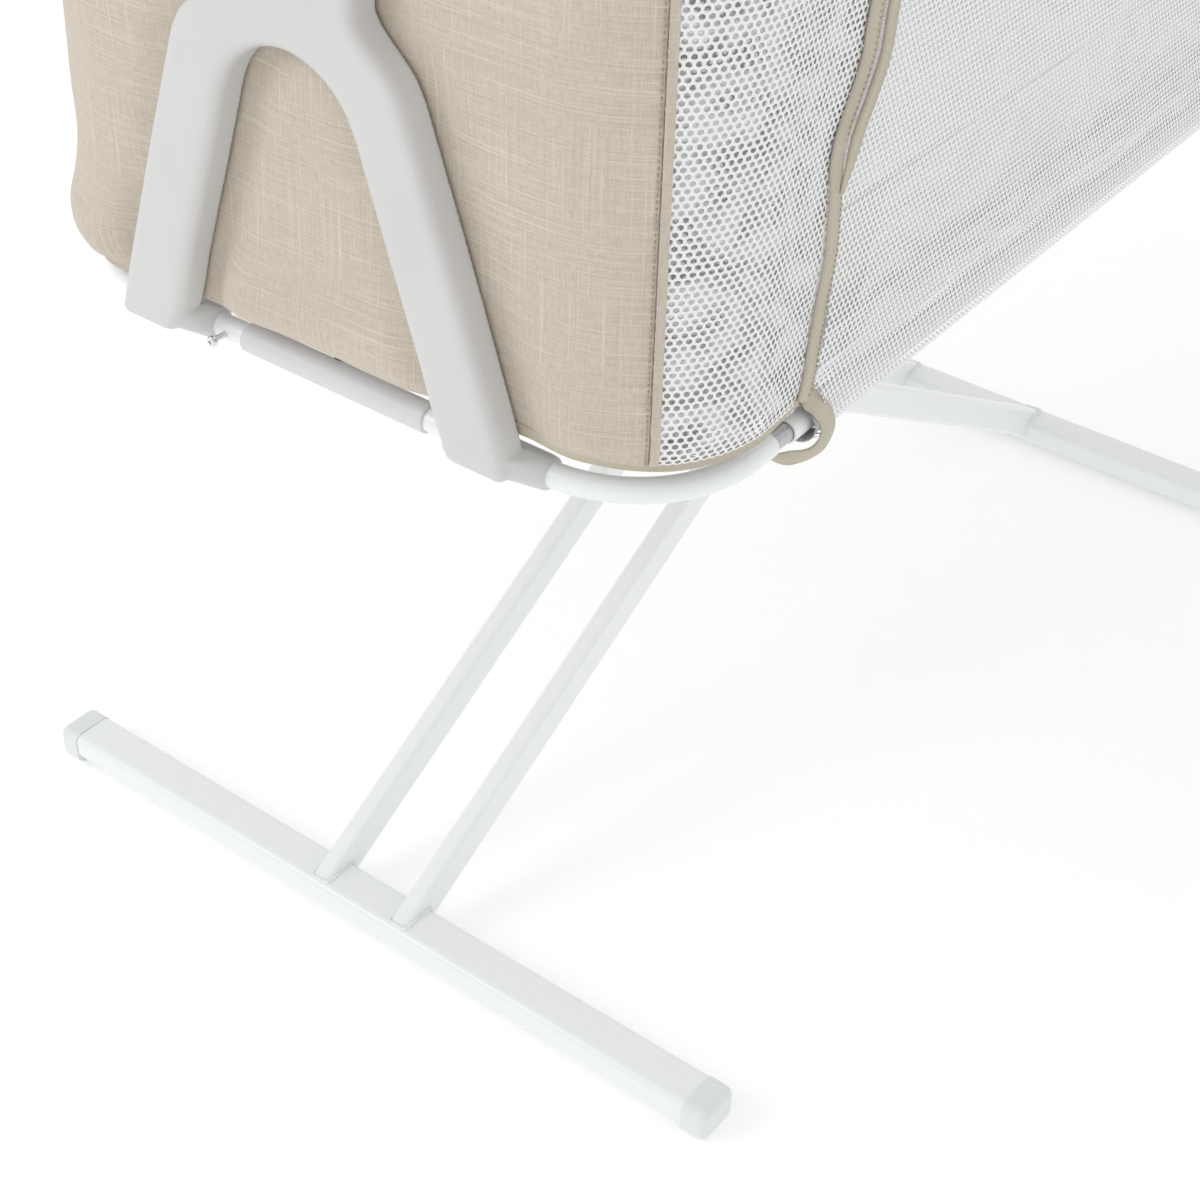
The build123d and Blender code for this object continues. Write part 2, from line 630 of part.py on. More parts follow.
# Zip sliders, parked at the top of the drop side's two zips and leaning with them.
SLIDER_Z = 792.0
SLIDER_BODY = (7.0, 3.0, 12.0)
SLIDER_PULL = (5.0, 1.4, 26.0)
zip_lean = degrees(atan2(ZIP_LOW_X - ZIP_TOP_X, WALL_TOP_Z - ZIP_LEAN_Z))
for end_name, end in ENDS.items():
    slider_face_y = -RING_HALF_Y - WALL_OUT - 0.3
    with BuildPart() as zip_slider:
        slider_place = Location((end * zip_x(SLIDER_Z), slider_face_y, SLIDER_Z), (0, -end * zip_lean, 0))
        with Locations(slider_place):
            with Locations((0, -SLIDER_BODY[1] / 2, 0)):
                Box(*SLIDER_BODY)
            with Locations((0, -SLIDER_BODY[1] - 0.6, -12)):
                Box(*SLIDER_PULL)
    save(zip_slider, f"zip_slider_{end_name}")


# ---------------------------------------------------------------- folding stand
FOOT_R = 6.0
FOOT_WALL = 1.6
FOOT_MID_Z = FOOT_GAP + FOOT_H / 2
STRUT_R = 4.0
STRUT_WALL = 1.5
PIVOT_R = 4.0
LEG_SETS = {"inner": (-1, INNER_Y), "outer": (1, OUTER_Y)}


def strut_axis(end):
    """The direction of a strut from its foot up to its top tube."""
    lean = radians(LEG_ANGLE)
    return (-end * cos(lean), 0, sin(lean))


for set_name, (end, strut_y) in LEG_SETS.items():
    with BuildPart() as foot_tube:
        with BuildSketch(along_y(end * FOOT_X, -FOOT_HALF_Y, FOOT_MID_Z)):
            RectangleRounded(FOOT_W, FOOT_H, FOOT_R)
            offset(amount=-FOOT_WALL, mode=Mode.SUBTRACT)
        extrude(amount=2 * FOOT_HALF_Y)
    save(foot_tube, f"{set_name}_foot_tube")

    with BuildPart() as foot_caps:
        for side in SIDES.values():
            cap_height = FOOT_TOP_Z + 0.7
            with BuildSketch(along_y(end * FOOT_X, side * (FOOT_HALF_Y + 0.2), cap_height / 2)):
                RectangleRounded(FOOT_W + 1.6, cap_height, FOOT_R + 1)
            extrude(amount=side * CAP_LENGTH)
            fillet(foot_caps.faces().sort_by(Axis.Y)[-1 if side > 0 else 0].edges(), radius=6.5)
            with BuildSketch(along_y(end * FOOT_X, side * (FOOT_HALF_Y + 1), FOOT_MID_Z)):
                RectangleRounded(FOOT_W - 2 * FOOT_WALL - 0.2, FOOT_H - 2 * FOOT_WALL - 0.2,
                                 FOOT_R - FOOT_WALL)
            extrude(amount=-side * 24)
    save(foot_caps, f"{set_name}_foot_caps")

    top_x = -end * LEG_AXIS_X
    tube_start = along_y(top_x, -TOP_TUBE_HALF_Y, LEG_AXIS_Z)
    top_tube = straight_tube(tube_start, 2 * TOP_TUBE_HALF_Y, TOP_TUBE_R, TOP_TUBE_R - 1.5)
    save(top_tube, f"{set_name}_top_tube")

    with BuildPart() as top_caps:
        for side in SIDES.values():
            with BuildSketch(along_y(top_x, side * (TOP_TUBE_HALF_Y + 0.1), LEG_AXIS_Z)):
                Circle(TOP_TUBE_R + 1.5)
            extrude(amount=side * 5)
            with BuildSketch(along_y(top_x, side * (TOP_TUBE_HALF_Y + 1), LEG_AXIS_Z)):
                Circle(TOP_TUBE_R - 1.6)
            extrude(amount=-side * 15)
    save(top_caps, f"{set_name}_top_caps")

    for side_name, side in SIDES.items():
        lead = 45.0
        direction = strut_axis(end)
        foot_point = Vector(end * STRUT_FOOT_X, side * strut_y, FOOT_TOP_Z)
        length = (LEG_AXIS_Z - FOOT_TOP_Z) / sin(radians(LEG_ANGLE)) + lead
        start = foot_point - Vector(*direction) * lead
        with BuildPart() as strut:
            with BuildSketch(Plane(origin=start, x_dir=(0, 1, 0), z_dir=direction)):
                RectangleRounded(STRUT_W, STRUT_D, STRUT_R)
                offset(amount=-STRUT_WALL, mode=Mode.SUBTRACT)
            extrude(amount=length)
            with Locations((end * (FOOT_X + 50 - FOOT_W / 2), side * strut_y, FOOT_TOP_Z - 50)):
                Box(100, 60, 100, mode=Mode.SUBTRACT)
            with BuildSketch(along_y(top_x, side * strut_y - STRUT_W, LEG_AXIS_Z)):
                Circle(TOP_TUBE_R + 0.02)
            extrude(amount=2 * STRUT_W, mode=Mode.SUBTRACT)
            with BuildSketch(along_y(0, side * strut_y - STRUT_W, CROSS_Z)):
                Circle(PIVOT_R + (0.08 if set_name == "inner" else 0.02))
            extrude(amount=2 * STRUT_W, mode=Mode.SUBTRACT)
        save(strut, f"{set_name}_strut_{side_name}")

# Pivot bolts where the two leg frames cross, with a spacer between the struts and a nut inside.
INNER_FACE = INNER_Y - STRUT_W / 2
OUTER_FACE = OUTER_Y + STRUT_W / 2
with BuildPart() as pivot_bolts:
    for side in SIDES.values():
        with BuildSketch(along_y(0, side * (INNER_FACE - 7.5), CROSS_Z)):
            Circle(PIVOT_R)
        extrude(amount=side * (OUTER_FACE - INNER_FACE + 7.5))
        with BuildSketch(along_y(0, side * OUTER_FACE, CROSS_Z)):
            Circle(8)
        extrude(amount=side * 4.5)
    fillet(pivot_bolts.edges().filter_by(GeomType.CIRCLE).filter_by(
        lambda edge: edge.radius > 7 and abs(edge.center().Y) > OUTER_FACE + 4), radius=3)
save(pivot_bolts, "pivot_bolts")

with BuildPart() as pivot_nuts:
    for side in SIDES.values():
        with BuildSketch(along_y(0, side * (INNER_FACE - 0.3), CROSS_Z)):
            RegularPolygon(radius=7.5, side_count=6)
            Circle(PIVOT_R + 0.02, mode=Mode.SUBTRACT)
        extrude(amount=-side * 6.5)
save(pivot_nuts, "pivot_nuts")

with BuildPart() as pivot_spacers:
    for side in SIDES.values():
        with BuildSketch(along_y(0, side * (INNER_Y + STRUT_W / 2 + 0.2), CROSS_Z)):
            Circle(9)
            Circle(PIVOT_R + 0.02, mode=Mode.SUBTRACT)
        extrude(amount=side * (OUTER_Y - INNER_Y - STRUT_W - 0.2))
save(pivot_spacers, "pivot_spacers")
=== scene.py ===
"""The looks of the bedside cradle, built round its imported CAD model.

Lengths are millimetres and angles degrees until a mesh is made, and MM turns them into Blender's
metres. The near end is at -X, the drop side is at -Y and +Z is up.

Most cloth lies on the basket's wall. A place on the wall is (s, z): s runs along the lower ring from
the middle of an end, positive towards the drop side and negative towards the back, and z is the height.
"""

import json
import math

import bmesh
import bpy
import numpy as np
from mathutils import Matrix, Vector
from mathutils.geometry import tessellate_polygon


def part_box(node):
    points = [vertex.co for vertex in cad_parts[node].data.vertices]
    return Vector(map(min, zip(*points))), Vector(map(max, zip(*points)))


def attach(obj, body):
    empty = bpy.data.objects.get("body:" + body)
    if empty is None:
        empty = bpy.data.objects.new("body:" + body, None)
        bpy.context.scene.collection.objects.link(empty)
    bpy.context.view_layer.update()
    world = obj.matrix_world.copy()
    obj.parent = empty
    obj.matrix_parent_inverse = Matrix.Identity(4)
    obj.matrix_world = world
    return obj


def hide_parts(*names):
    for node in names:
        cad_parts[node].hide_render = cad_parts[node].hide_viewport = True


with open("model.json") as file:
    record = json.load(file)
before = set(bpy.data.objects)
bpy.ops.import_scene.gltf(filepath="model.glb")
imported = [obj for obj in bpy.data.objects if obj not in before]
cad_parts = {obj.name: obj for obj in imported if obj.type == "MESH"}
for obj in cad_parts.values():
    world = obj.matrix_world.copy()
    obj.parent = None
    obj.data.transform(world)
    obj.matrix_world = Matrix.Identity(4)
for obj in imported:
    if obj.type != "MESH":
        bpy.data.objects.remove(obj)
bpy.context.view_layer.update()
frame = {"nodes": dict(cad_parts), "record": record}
nodes = frame["nodes"]
MM = 0.001
ENDS = {"near": -1, "far": 1}
SIDES = {"front": -1, "back": 1}


def span(node):
    """A CAD node's lowest and highest corners, in mm."""
    low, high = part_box(node)
    return np.array(low) / MM, np.array(high) / MM


def middle(node):
    """The middle of a CAD node's box, in mm."""
    low, high = span(node)
    return (low + high) / 2


# ---------------------------------------------------------------- measures read from the frame
RING_X = -middle("end_sleeve_near")[0]
RING_Y = -middle("side_tube_front")[1]
RING_Z = middle("side_tube_front")[2]
TUBE_R = (span("side_tube_front")[1][2] - span("side_tube_front")[0][2]) / 2
RAIL_Z = middle("front_rail")[2]
RAIL_R = (span("front_rail")[1][2] - span("front_rail")[0][2]) / 2
SOCKET_OUTER_X = -span("rail_socket_near")[0][0]
FRONT_COVER_X = span("rail_cover_front")[1][0]
BRACKET_FACE_X = -span("bracket_cover_near")[1][0]
BRACKET_OUTER_X = -span("bracket_shell_near")[0][0]
BRACKET_TOP_Z = span("bracket_shell_near")[1][2]
WALL_TOP_Z = span("end_panel_near")[1][2]
DROP_Z = span("drop_panel")[0][2] - 2
CORNER_R = 84.0
CORNER_X = RING_X - CORNER_R
CORNER_Y = RING_Y - CORNER_R
ARC_START = CORNER_Y
ARC_END = ARC_START + CORNER_R * math.pi / 2


# ---------------------------------------------------------------- camera, floor and light
def add_camera():
    """The photograph's view: from outside the near end, on the drop side, looking down."""
    yaw, pitch, roll = (math.radians(a) for a in (35.94, 37.82, 1.85))
    forward = Vector((math.cos(yaw) * math.cos(pitch), math.sin(yaw) * math.cos(pitch), -math.sin(pitch)))
    level_right = Vector((math.sin(yaw), -math.cos(yaw), 0))
    level_up = level_right.cross(forward)
    right = level_right * math.cos(roll) + level_up * math.sin(roll)
    up = level_up * math.cos(roll) - level_right * math.sin(roll)
    turn = Matrix((right, up, -forward)).transposed().to_4x4()
    data = bpy.data.cameras.new("camera")
    data.sensor_width = 36.0
    data.lens = 64.81
    camera = bpy.data.objects.new("camera", data)
    camera.matrix_world = Matrix.Translation(Vector((-1266.5, -795.8, 1184.9)) * MM) @ turn
    bpy.context.scene.collection.objects.link(camera)
    bpy.context.scene.camera = camera


def add_area_light(name, place, aim, size, power):
    """A square soft light, in metres and watts."""
    data = bpy.data.lights.new(name, "AREA")
    data.size = size
    data.energy = power
    light = bpy.data.objects.new(name, data)
    light.location = place
    light.rotation_euler = (Vector(aim) - Vector(place)).to_track_quat("-Z", "Y").to_euler()
    bpy.context.scene.collection.objects.link(light)


# ---------------------------------------------------------------- material helpers
class Shader:
    """A new material's node tree, with short ways to add and join nodes."""

    def __init__(self, name, colour, roughness, metallic=0.0):
        self.material = bpy.data.materials.new(name)
        self.material.use_nodes = True
        self.tree = self.material.node_tree
        self.surface = self.tree.nodes["Principled BSDF"]
        self.surface.inputs["Base Color"].default_value = (*colour, 1)
        self.surface.inputs["Roughness"].default_value = roughness
        self.surface.inputs["Metallic"].default_value = metallic

    def set(self, **values):
        """Plain numbers on the surface shader's own sockets: Sheen_Weight=0.3 and so on."""
        for key, value in values.items():
            self.surface.inputs[key.replace("_", " ")].default_value = value

    def node(self, kind, **inputs):
        """A node, with its inputs set to numbers or joined to other nodes' outputs."""
        made = self.tree.nodes.new(kind)
        for key, value in inputs.items():
            self.feed(made, key.replace("_", " "), value)
        return made

    def feed(self, node, socket, value):
        """Joins an output to an input, or sets the input's number."""
        target = node.inputs[int(socket)] if str(socket).isdigit() else node.inputs[socket]
        if isinstance(value, bpy.types.NodeSocket):
            self.tree.links.new(value, target)
        else:
            target.default_value = value

    def math(self, operation, a, b=0.0):
        """One sum on two values."""
        made = self.tree.nodes.new("ShaderNodeMath")
        made.operation = operation
        self.feed(made, 0, a)
        self.feed(made, 1, b)
        return made.outputs[0]

    def place(self, scale=(1, 1, 1), turn=0.0, cloth=False):
        """Coordinates in metres: the object's own, or the cloth's when the piece has them."""
        if cloth:
            source = self.tree.nodes.new("ShaderNodeAttribute")
            source.attribute_name = "cloth"
            vector = source.outputs["Vector"]
        else:
            vector = self.tree.nodes.new("ShaderNodeTexCoord").outputs["Object"]
        mapping = self.node("ShaderNodeMapping", Vector=vector)
        mapping.inputs["Scale"].default_value = scale
        mapping.inputs["Rotation"].default_value = (0, 0, math.radians(turn))
        return mapping.outputs["Vector"]

    def noise(self, vector, scale, detail=3.0, roughness=0.5):
        """A noise value from 0 to 1."""
        made = self.node("ShaderNodeTexNoise", Vector=vector, Scale=scale, Detail=detail, Roughness=roughness)
        return made.outputs[0]

    def ramp(self, value, low, high, low_out=0.0, high_out=1.0):
        """A value stretched from one span to another and held inside it."""
        made = self.node("ShaderNodeMapRange", Value=value, From_Min=low, From_Max=high,
                         To_Min=low_out, To_Max=high_out)
        return made.outputs[0]

    def blend(self, share, first, second):
        """A colour between two others; each is a colour or an output."""
        made = self.tree.nodes.new("ShaderNodeMix")
        made.data_type = "RGBA"
        self.feed(made, 0, share)
        for index, colour in ((6, first), (7, second)):
            value = colour if isinstance(colour, bpy.types.NodeSocket) else (*colour, 1)
            self.feed(made, index, value)
        return made.outputs[2]

    def colour(self, output):
        """What the surface's colour comes from."""
        self.tree.links.new(output, self.surface.inputs["Base Color"])

    def rough(self, output):
        """What the surface's roughness comes from."""
        self.tree.links.new(output, self.surface.inputs["Roughness"])

    def bump(self, height, depth_mm, strength=1.0):
        """Relief of a given depth, added to any relief that is there already."""
        made = self.node("ShaderNodeBump", Height=height, Strength=strength, Distance=depth_mm * MM)
        target = self.surface.inputs["Normal"]
        if target.is_linked:
            self.tree.links.new(target.links[0].from_socket, made.inputs["Normal"])
        self.tree.links.new(made.outputs["Normal"], target)


def painted_tube():
    """Semi-gloss white powder coat: faint orange peel, and slightly uneven gloss."""
    s = Shader("painted_tube", (0.83, 0.86, 0.86), 0.3)
    s.set(Coat_Weight=0.35, Coat_Roughness=0.12)
    peel = s.noise(s.place(), 420, 2)
    patches = s.noise(s.place(), 4, 2)
    s.bump(peel, 0.05, 0.5)
    s.rough(s.ramp(patches, 0.2, 0.8, 0.28, 0.33))
    s.colour(s.blend(s.ramp(patches, 0.2, 0.8), (0.87, 0.897, 0.9), (0.88, 0.905, 0.906)))
    return s.material


def moulded_plastic(name, dark, light, roughness):
    """Moulded plastic: a fine satin texture and slow changes of shade."""
    s = Shader(name, light, roughness)
    grain = s.noise(s.place(), 1500, 2)
    flow = s.noise(s.place(), 9, 2)
    s.bump(grain, 0.03, 0.35)
    s.rough(s.ramp(flow, 0.3, 0.7, roughness - 0.05, roughness + 0.07))
    s.colour(s.blend(s.ramp(flow, 0.3, 0.7), dark, light))
    return s.material


def metal(name, colour, roughness, stretch):
    """Bare or plated metal with fine drawn marks along one axis."""
    s = Shader(name, colour, roughness, 1.0)
    marks = s.noise(s.place(stretch), 300, 3)
    s.rough(s.ramp(marks, 0.3, 0.7, roughness * 0.8, roughness * 1.3))
    s.bump(marks, 0.02, 0.3)
    dull = tuple(c * 0.85 for c in colour)
    s.colour(s.blend(s.ramp(marks, 0.35, 0.7), dull, colour))
    return s.material


def linen():
    """Beige slub weave: long thin light and dark threads both ways over a fine plain weave."""
    s = Shader("linen", (0.61, 0.53, 0.43), 0.9)
    s.set(Sheen_Weight=0.12, Sheen_Roughness=0.5)
    across = s.noise(s.place((11, 820, 1), cloth=True), 1, 1)
    along = s.noise(s.place((820, 11, 1), cloth=True), 1, 1)
    fine_across = s.noise(s.place((140, 2100, 1), cloth=True), 1, 1)
    fine_along = s.noise(s.place((2100, 140, 1), cloth=True), 1, 1)
    cloud = s.noise(s.place(cloth=True), 12, 3)
    light_threads = s.math("MAXIMUM", s.ramp(across, 0.56, 0.72), s.ramp(along, 0.58, 0.74))
    dark_threads = s.math("MAXIMUM", s.ramp(across, 0.44, 0.3), s.ramp(along, 0.42, 0.28))
    fine = s.math("ADD", s.math("MULTIPLY", fine_across, 0.5), s.math("MULTIPLY", fine_along, 0.5))
    ground = s.blend(s.ramp(fine, 0.38, 0.62), (0.535, 0.468, 0.385), (0.655, 0.588, 0.503))
    ground = s.blend(s.math("MULTIPLY", dark_threads, 0.38), ground, (0.47, 0.395, 0.31))
    ground = s.blend(s.math("MULTIPLY", light_threads, 0.5), ground, (0.77, 0.715, 0.645))
    s.colour(s.blend(s.ramp(cloud, 0.3, 0.7, 0.0, 0.12), ground, (0.5, 0.43, 0.34)))
    s.rough(s.ramp(fine, 0.3, 0.7, 0.82, 0.95))
    threads = s.math("ADD", fine, s.math("MULTIPLY", light_threads, 0.6))
    s.bump(threads, 0.22, 0.55)
    return s.material


def tape(name, dark, light):
    """Binding tape: a fine diagonal twill, slightly shiny."""
    s = Shader(name, light, 0.75)
    s.set(Sheen_Weight=0.1)
    twill = s.noise(s.place((500, 2600, 2600), 35), 1, 2)
    shade = s.noise(s.place(), 25, 2)
    share = s.math("MULTIPLY", s.ramp(twill, 0.35, 0.65), s.ramp(shade, 0.2, 0.8, 0.7, 1.0))
    s.colour(s.blend(share, dark, light))
    s.rough(s.ramp(twill, 0.3, 0.7, 0.68, 0.82))
    s.bump(twill, 0.15, 0.5)
    return s.material


def knit(name, light):
    """The white thread of the mesh."""
    s = Shader(name, light, 0.55)
    s.set(Sheen_Weight=0.15)
    twist = s.noise(s.place((900, 900, 900)), 1, 2)
    shade = tuple(c * 0.9 for c in light)
    s.colour(s.blend(s.ramp(twist, 0.3, 0.7), shade, light))
    s.rough(s.ramp(twist, 0.3, 0.7, 0.48, 0.65))
    s.bump(twist, 0.12, 0.5)
    return s.material


def open_knit(name, light, pitch, hole, turn):
    """A layer of the mesh whose holes are in the material: rows of round holes, every other row shifted. Its
    colour is painted shade where the holes are open.
    """
    s = Shader(name, light, 0.6)
    s.set(Sheen_Weight=0.15)
    warp = s.noise(s.place(cloth=True), 26, 1)
    row = pitch * math.sqrt(3) * MM
    grid = s.place((1 / (pitch * MM), 1 / row, 1), turn, cloth=True)
    shifted = s.node("ShaderNodeVectorMath", **{"0": grid})
    shifted.operation = "ADD"
    drift = s.node("ShaderNodeCombineXYZ", X=s.ramp(warp, 0.2, 0.8, 0.0, 2.5), Y=0.0, Z=0.0)
    s.feed(shifted, 1, drift.outputs[0])
    parts = s.node("ShaderNodeSeparateXYZ", Vector=shifted.outputs[0])
    nearest = None
    for start in (0.0, 0.5):
        across = s.math("SUBTRACT", s.math("FRACT", s.math("ADD", parts.outputs[0], start)), 0.5)
        up = s.math("SUBTRACT", s.math("FRACT", s.math("ADD", parts.outputs[1], start)), 0.5)
        up = s.math("MULTIPLY", up, math.sqrt(3))
        far = s.math("SQRT", s.math("ADD", s.math("MULTIPLY", across, across), s.math("MULTIPLY", up, up)))
        nearest = far if nearest is None else s.math("MINIMUM", nearest, far)
    patches = s.ramp(s.noise(s.place(cloth=True), 52, 2), 0.42, 0.56)
    snug = s.ramp(patches, 0.0, 1.0, hole / pitch / 2, 0.12)
    solid = s.ramp(s.math("SUBTRACT", nearest, snug), -0.03, 0.03)
    s.tree.links.new(solid, s.surface.inputs["Alpha"])
    s.bump(s.ramp(nearest, 0.3, 0.55), 0.5, 0.8)
    # Painted shade: the open patches are coloured dark grey for the shadowed inside of the basket seen
    # through the holes, and the closer patches stay white.
    s.colour(s.blend(patches, tuple(c * 0.4 for c in light), tuple(c * 0.95 for c in light)))
    s.rough(s.ramp(nearest, 0.3, 0.6, 0.7, 0.5))
    return s.material


def ribbed_knit(name, light, pitch):
    """The layer behind the drop side's mesh: close ribs along the cradle with open rows between them."""
    s = Shader(name, light, 0.6)
    s.set(Sheen_Weight=0.15)
    rows = s.node("ShaderNodeSeparateXYZ", Vector=s.place((1, 1 / (pitch * MM), 1), 1.5, cloth=True))
    sway = s.ramp(s.noise(s.place((5, 9, 1), cloth=True), 1, 1), 0.2, 0.8, 0.0, 3.0)
    phase = s.math("FRACT", s.math("ADD", rows.outputs[1], sway))
    away = s.math("ABSOLUTE", s.math("SUBTRACT", phase, 0.5))
    solid = s.ramp(away, 0.1, 0.22, 0.25, 1.0)
    s.tree.links.new(solid, s.surface.inputs["Alpha"])
    s.bump(away, 0.6, 0.8)
    # Painted shade: the ribs are coloured darker towards the open rows between them, as shade in the grooves.
    s.colour(s.blend(s.ramp(away, 0.05, 0.3), tuple(c * 0.8 for c in light), light))
    s.rough(s.ramp(away, 0.1, 0.4, 0.7, 0.5))
    return s.material


def quilt():
    """White mattress cloth: a soft knitted face."""
    s = Shader("mattress_cloth", (0.86, 0.86, 0.85), 0.85)
    s.set(Sheen_Weight=0.25)
    knit_rows = s.noise(s.place((1200, 1200, 1200)), 1, 2)
    cloud = s.noise(s.place(), 18, 3)
    s.colour(s.blend(s.ramp(cloud, 0.3, 0.7), (0.8, 0.8, 0.79), (0.88, 0.88, 0.87)))
    s.rough(s.ramp(knit_rows, 0.3, 0.7, 0.78, 0.92))
    s.bump(knit_rows, 0.25, 0.5)
    return s.material


def board():
    """White-faced fibreboard."""
    s = Shader("board", (0.8, 0.78, 0.74), 0.6)
    fibre = s.noise(s.place((60, 600, 60)), 1, 4)
    s.colour(s.blend(s.ramp(fibre, 0.3, 0.7), (0.76, 0.74, 0.69), (0.84, 0.82, 0.78)))
    s.rough(s.ramp(fibre, 0.3, 0.7, 0.5, 0.68))
    s.bump(fibre, 0.05, 0.4)
    return s.material


def studio_floor():
    """The plain pale floor."""
    s = Shader("studio_floor", (0.93, 0.93, 0.93), 0.7)
    speck = s.noise(s.place(), 3, 2)
    s.colour(s.blend(speck, (0.925, 0.925, 0.925), (0.94, 0.94, 0.94)))
    s.set(Emission_Color=(1, 1, 1, 1), Emission_Strength=0.2)
    return s.material


THREAD_WHITE = (0.95, 0.955, 0.96)
MESH_PITCH = 4.7
HOLE_SHARE = 0.64
MATERIALS = {
    "painted_tube": painted_tube(),
    "grey_plastic": moulded_plastic("grey_plastic", (0.64, 0.64, 0.637), (0.665, 0.665, 0.66), 0.42),
    "sleeve_plastic": moulded_plastic("sleeve_plastic", (0.67, 0.67, 0.68), (0.7, 0.7, 0.705), 0.4),
    "cap_plastic": moulded_plastic("cap_plastic", (0.76, 0.79, 0.79), (0.79, 0.82, 0.82), 0.35),
    "dark_plastic": moulded_plastic("dark_plastic", (0.045, 0.045, 0.05), (0.06, 0.06, 0.065), 0.5),
    "dark_steel": metal("dark_steel", (0.16, 0.15, 0.145), 0.38, (1, 1, 1)),
    "chrome_steel": metal("chrome_steel", (0.82, 0.82, 0.83), 0.1, (0.2, 1, 1)),
    "zinc_steel": metal("zinc_steel", (0.6, 0.6, 0.62), 0.34, (1, 1, 0.2)),
    "linen": linen(),
    "binding": tape("binding", (0.47, 0.425, 0.33), (0.61, 0.565, 0.46)),
    "linen_thread": tape("linen_thread", (0.36, 0.29, 0.2), (0.48, 0.4, 0.3)),
    "white_mesh": knit("white_mesh", THREAD_WHITE),
    "inner_mesh": open_knit("inner_mesh", THREAD_WHITE, MESH_PITCH * 1.03, MESH_PITCH * 0.7, 2.0),
    "ribbed_mesh": ribbed_knit("ribbed_mesh", THREAD_WHITE, 3.9),
    # Painted shade: grey cloth for the sheet inside each tunnel mouth, standing in for the shadow there.
    "mouth_shade_sheet": tape("mouth_shade_sheet", (0.4, 0.39, 0.39), (0.46, 0.45, 0.45)),
    "mattress_cloth": quilt(),
    "board": board(),
    "zip_metal": metal("zip_metal", (0.62, 0.56, 0.46), 0.35, (1, 1, 1)),
    "studio_floor": studio_floor(),
}
OWN_LOOK = {"end_sleeve_near": "sleeve_plastic", "end_sleeve_far": "sleeve_plastic",
            "inner_foot_caps": "cap_plastic", "outer_foot_caps": "cap_plastic"}
NODE_SLOTS = {row["node"]: row["material_slot"] for row in frame["record"]["subparts"]}


def paint(obj, name):
    """Gives a piece one material."""
    obj.data.materials.clear()
    obj.data.materials.append(MATERIALS[name])


def dress(obj, material, body):
    """Gives a piece its material and the body it rides on."""
    paint(obj, material)
    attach(obj, body)


# ---------------------------------------------------------------- mesh helpers
def linked(name, mesh):
    """A mesh's object, in the scene."""
    obj = bpy.data.objects.new(name, mesh)
    bpy.context.scene.collection.objects.link(obj)
    return obj


def new_object(name, points, faces, cloth=None):
    """An object from points in mm. cloth is each point's place in the flat cloth, in mm."""
    mesh = bpy.data.meshes.new(name)
    mesh.from_pydata((np.asarray(points, float) * MM).tolist(), [], faces)
    mesh.validate()
    mesh.shade_smooth()
    if cloth is not None:
        flat = np.zeros((len(points), 3), np.float32)
        flat[:, :2] = np.asarray(cloth, float) * MM
        mesh.attributes.new("cloth", "FLOAT_VECTOR", "POINT").data.foreach_set("vector", flat.ravel())
    return linked(name, mesh)


def grid_faces(rows, columns, wrapped=False):
    """Quads of a grid whose points are in row order. wrapped joins the last column to the first."""
    faces = []
    for row in range(rows - 1):
        for column in range(columns - (0 if wrapped else 1)):
            beside = (column + 1) % columns
            faces.append((row * columns + column, row * columns + beside,
                          (row + 1) * columns + beside, (row + 1) * columns + column))
    return faces


def grid_object(name, points, s, t, turned=False):
    """A sheet from rows of points in mm; s and t are each point's place in the flat cloth."""
    rows, columns = points.shape[:2]
    faces = grid_faces(rows, columns)
    if turned:
        faces = [face[::-1] for face in faces]
    cloth = np.stack(np.broadcast_arrays(s, t), -1).reshape(-1, 2)
    return new_object(name, points.reshape(-1, 3), faces, cloth)


def apply_modifiers(obj):
    """Makes what the modifiers give the object's own mesh."""
    depsgraph = bpy.context.evaluated_depsgraph_get()
    made = bpy.data.meshes.new_from_object(obj.evaluated_get(depsgraph))
    obj.modifiers.clear()
    obj.data = made
    return obj


def steps_along(path):
    """How far along a path each of its points is."""
    return np.concatenate([[0], np.cumsum(np.linalg.norm(np.diff(path, axis=0), axis=1))])


def vertex_places(obj):
    """A mesh's points in metres, one row each."""
    points = np.zeros(len(obj.data.vertices) * 3)
    obj.data.vertices.foreach_get("co", points)
    return points.reshape(-1, 3)


def thicken(obj, thickness, offset=-1.0):
    """Gives a sheet its thickness in mm; an offset of -1 keeps the outer face where it is."""
    solid = obj.modifiers.new("cloth_thickness", "SOLIDIFY")
    solid.thickness = thickness * MM
    solid.offset = offset
    return apply_modifiers(obj)


def ease(value):
    """0 below 0, 1 above 1 and a smooth step between."""
    held = np.clip(value, 0, 1)
    return held * held * (3 - 2 * held)


def curve(value, knots):
    """A smooth curve through (value, result) knots, flat beyond its ends."""
    xs, ys = np.array(knots, float).T
    slopes = np.gradient(ys, xs)
    value = np.clip(value, xs[0], xs[-1])
    i = np.clip(np.searchsorted(xs, value) - 1, 0, len(xs) - 2)
    width = xs[i + 1] - xs[i]
    t = (value - xs[i]) / width
    return ((2 * t**3 - 3 * t**2 + 1) * ys[i] + (t**3 - 2 * t**2 + t) * width * slopes[i]
            + (3 * t**2 - 2 * t**3) * ys[i + 1] + (t**3 - t**2) * width * slopes[i + 1])


def ripple(u, v, size, seed):
    """Smooth unevenness from about -1 to 1, a sum of sine waves about one size long in mm."""
    random = np.random.default_rng(seed)
    total = 0.0
    for _ in range(7):
        heading, phase = random.uniform(0, 2 * math.pi, 2)
        pitch = 2 * math.pi / size * random.uniform(0.6, 1.5)
        total = total + np.sin(pitch * (math.cos(heading) * u + math.sin(heading) * v) + phase)
    return total / 4


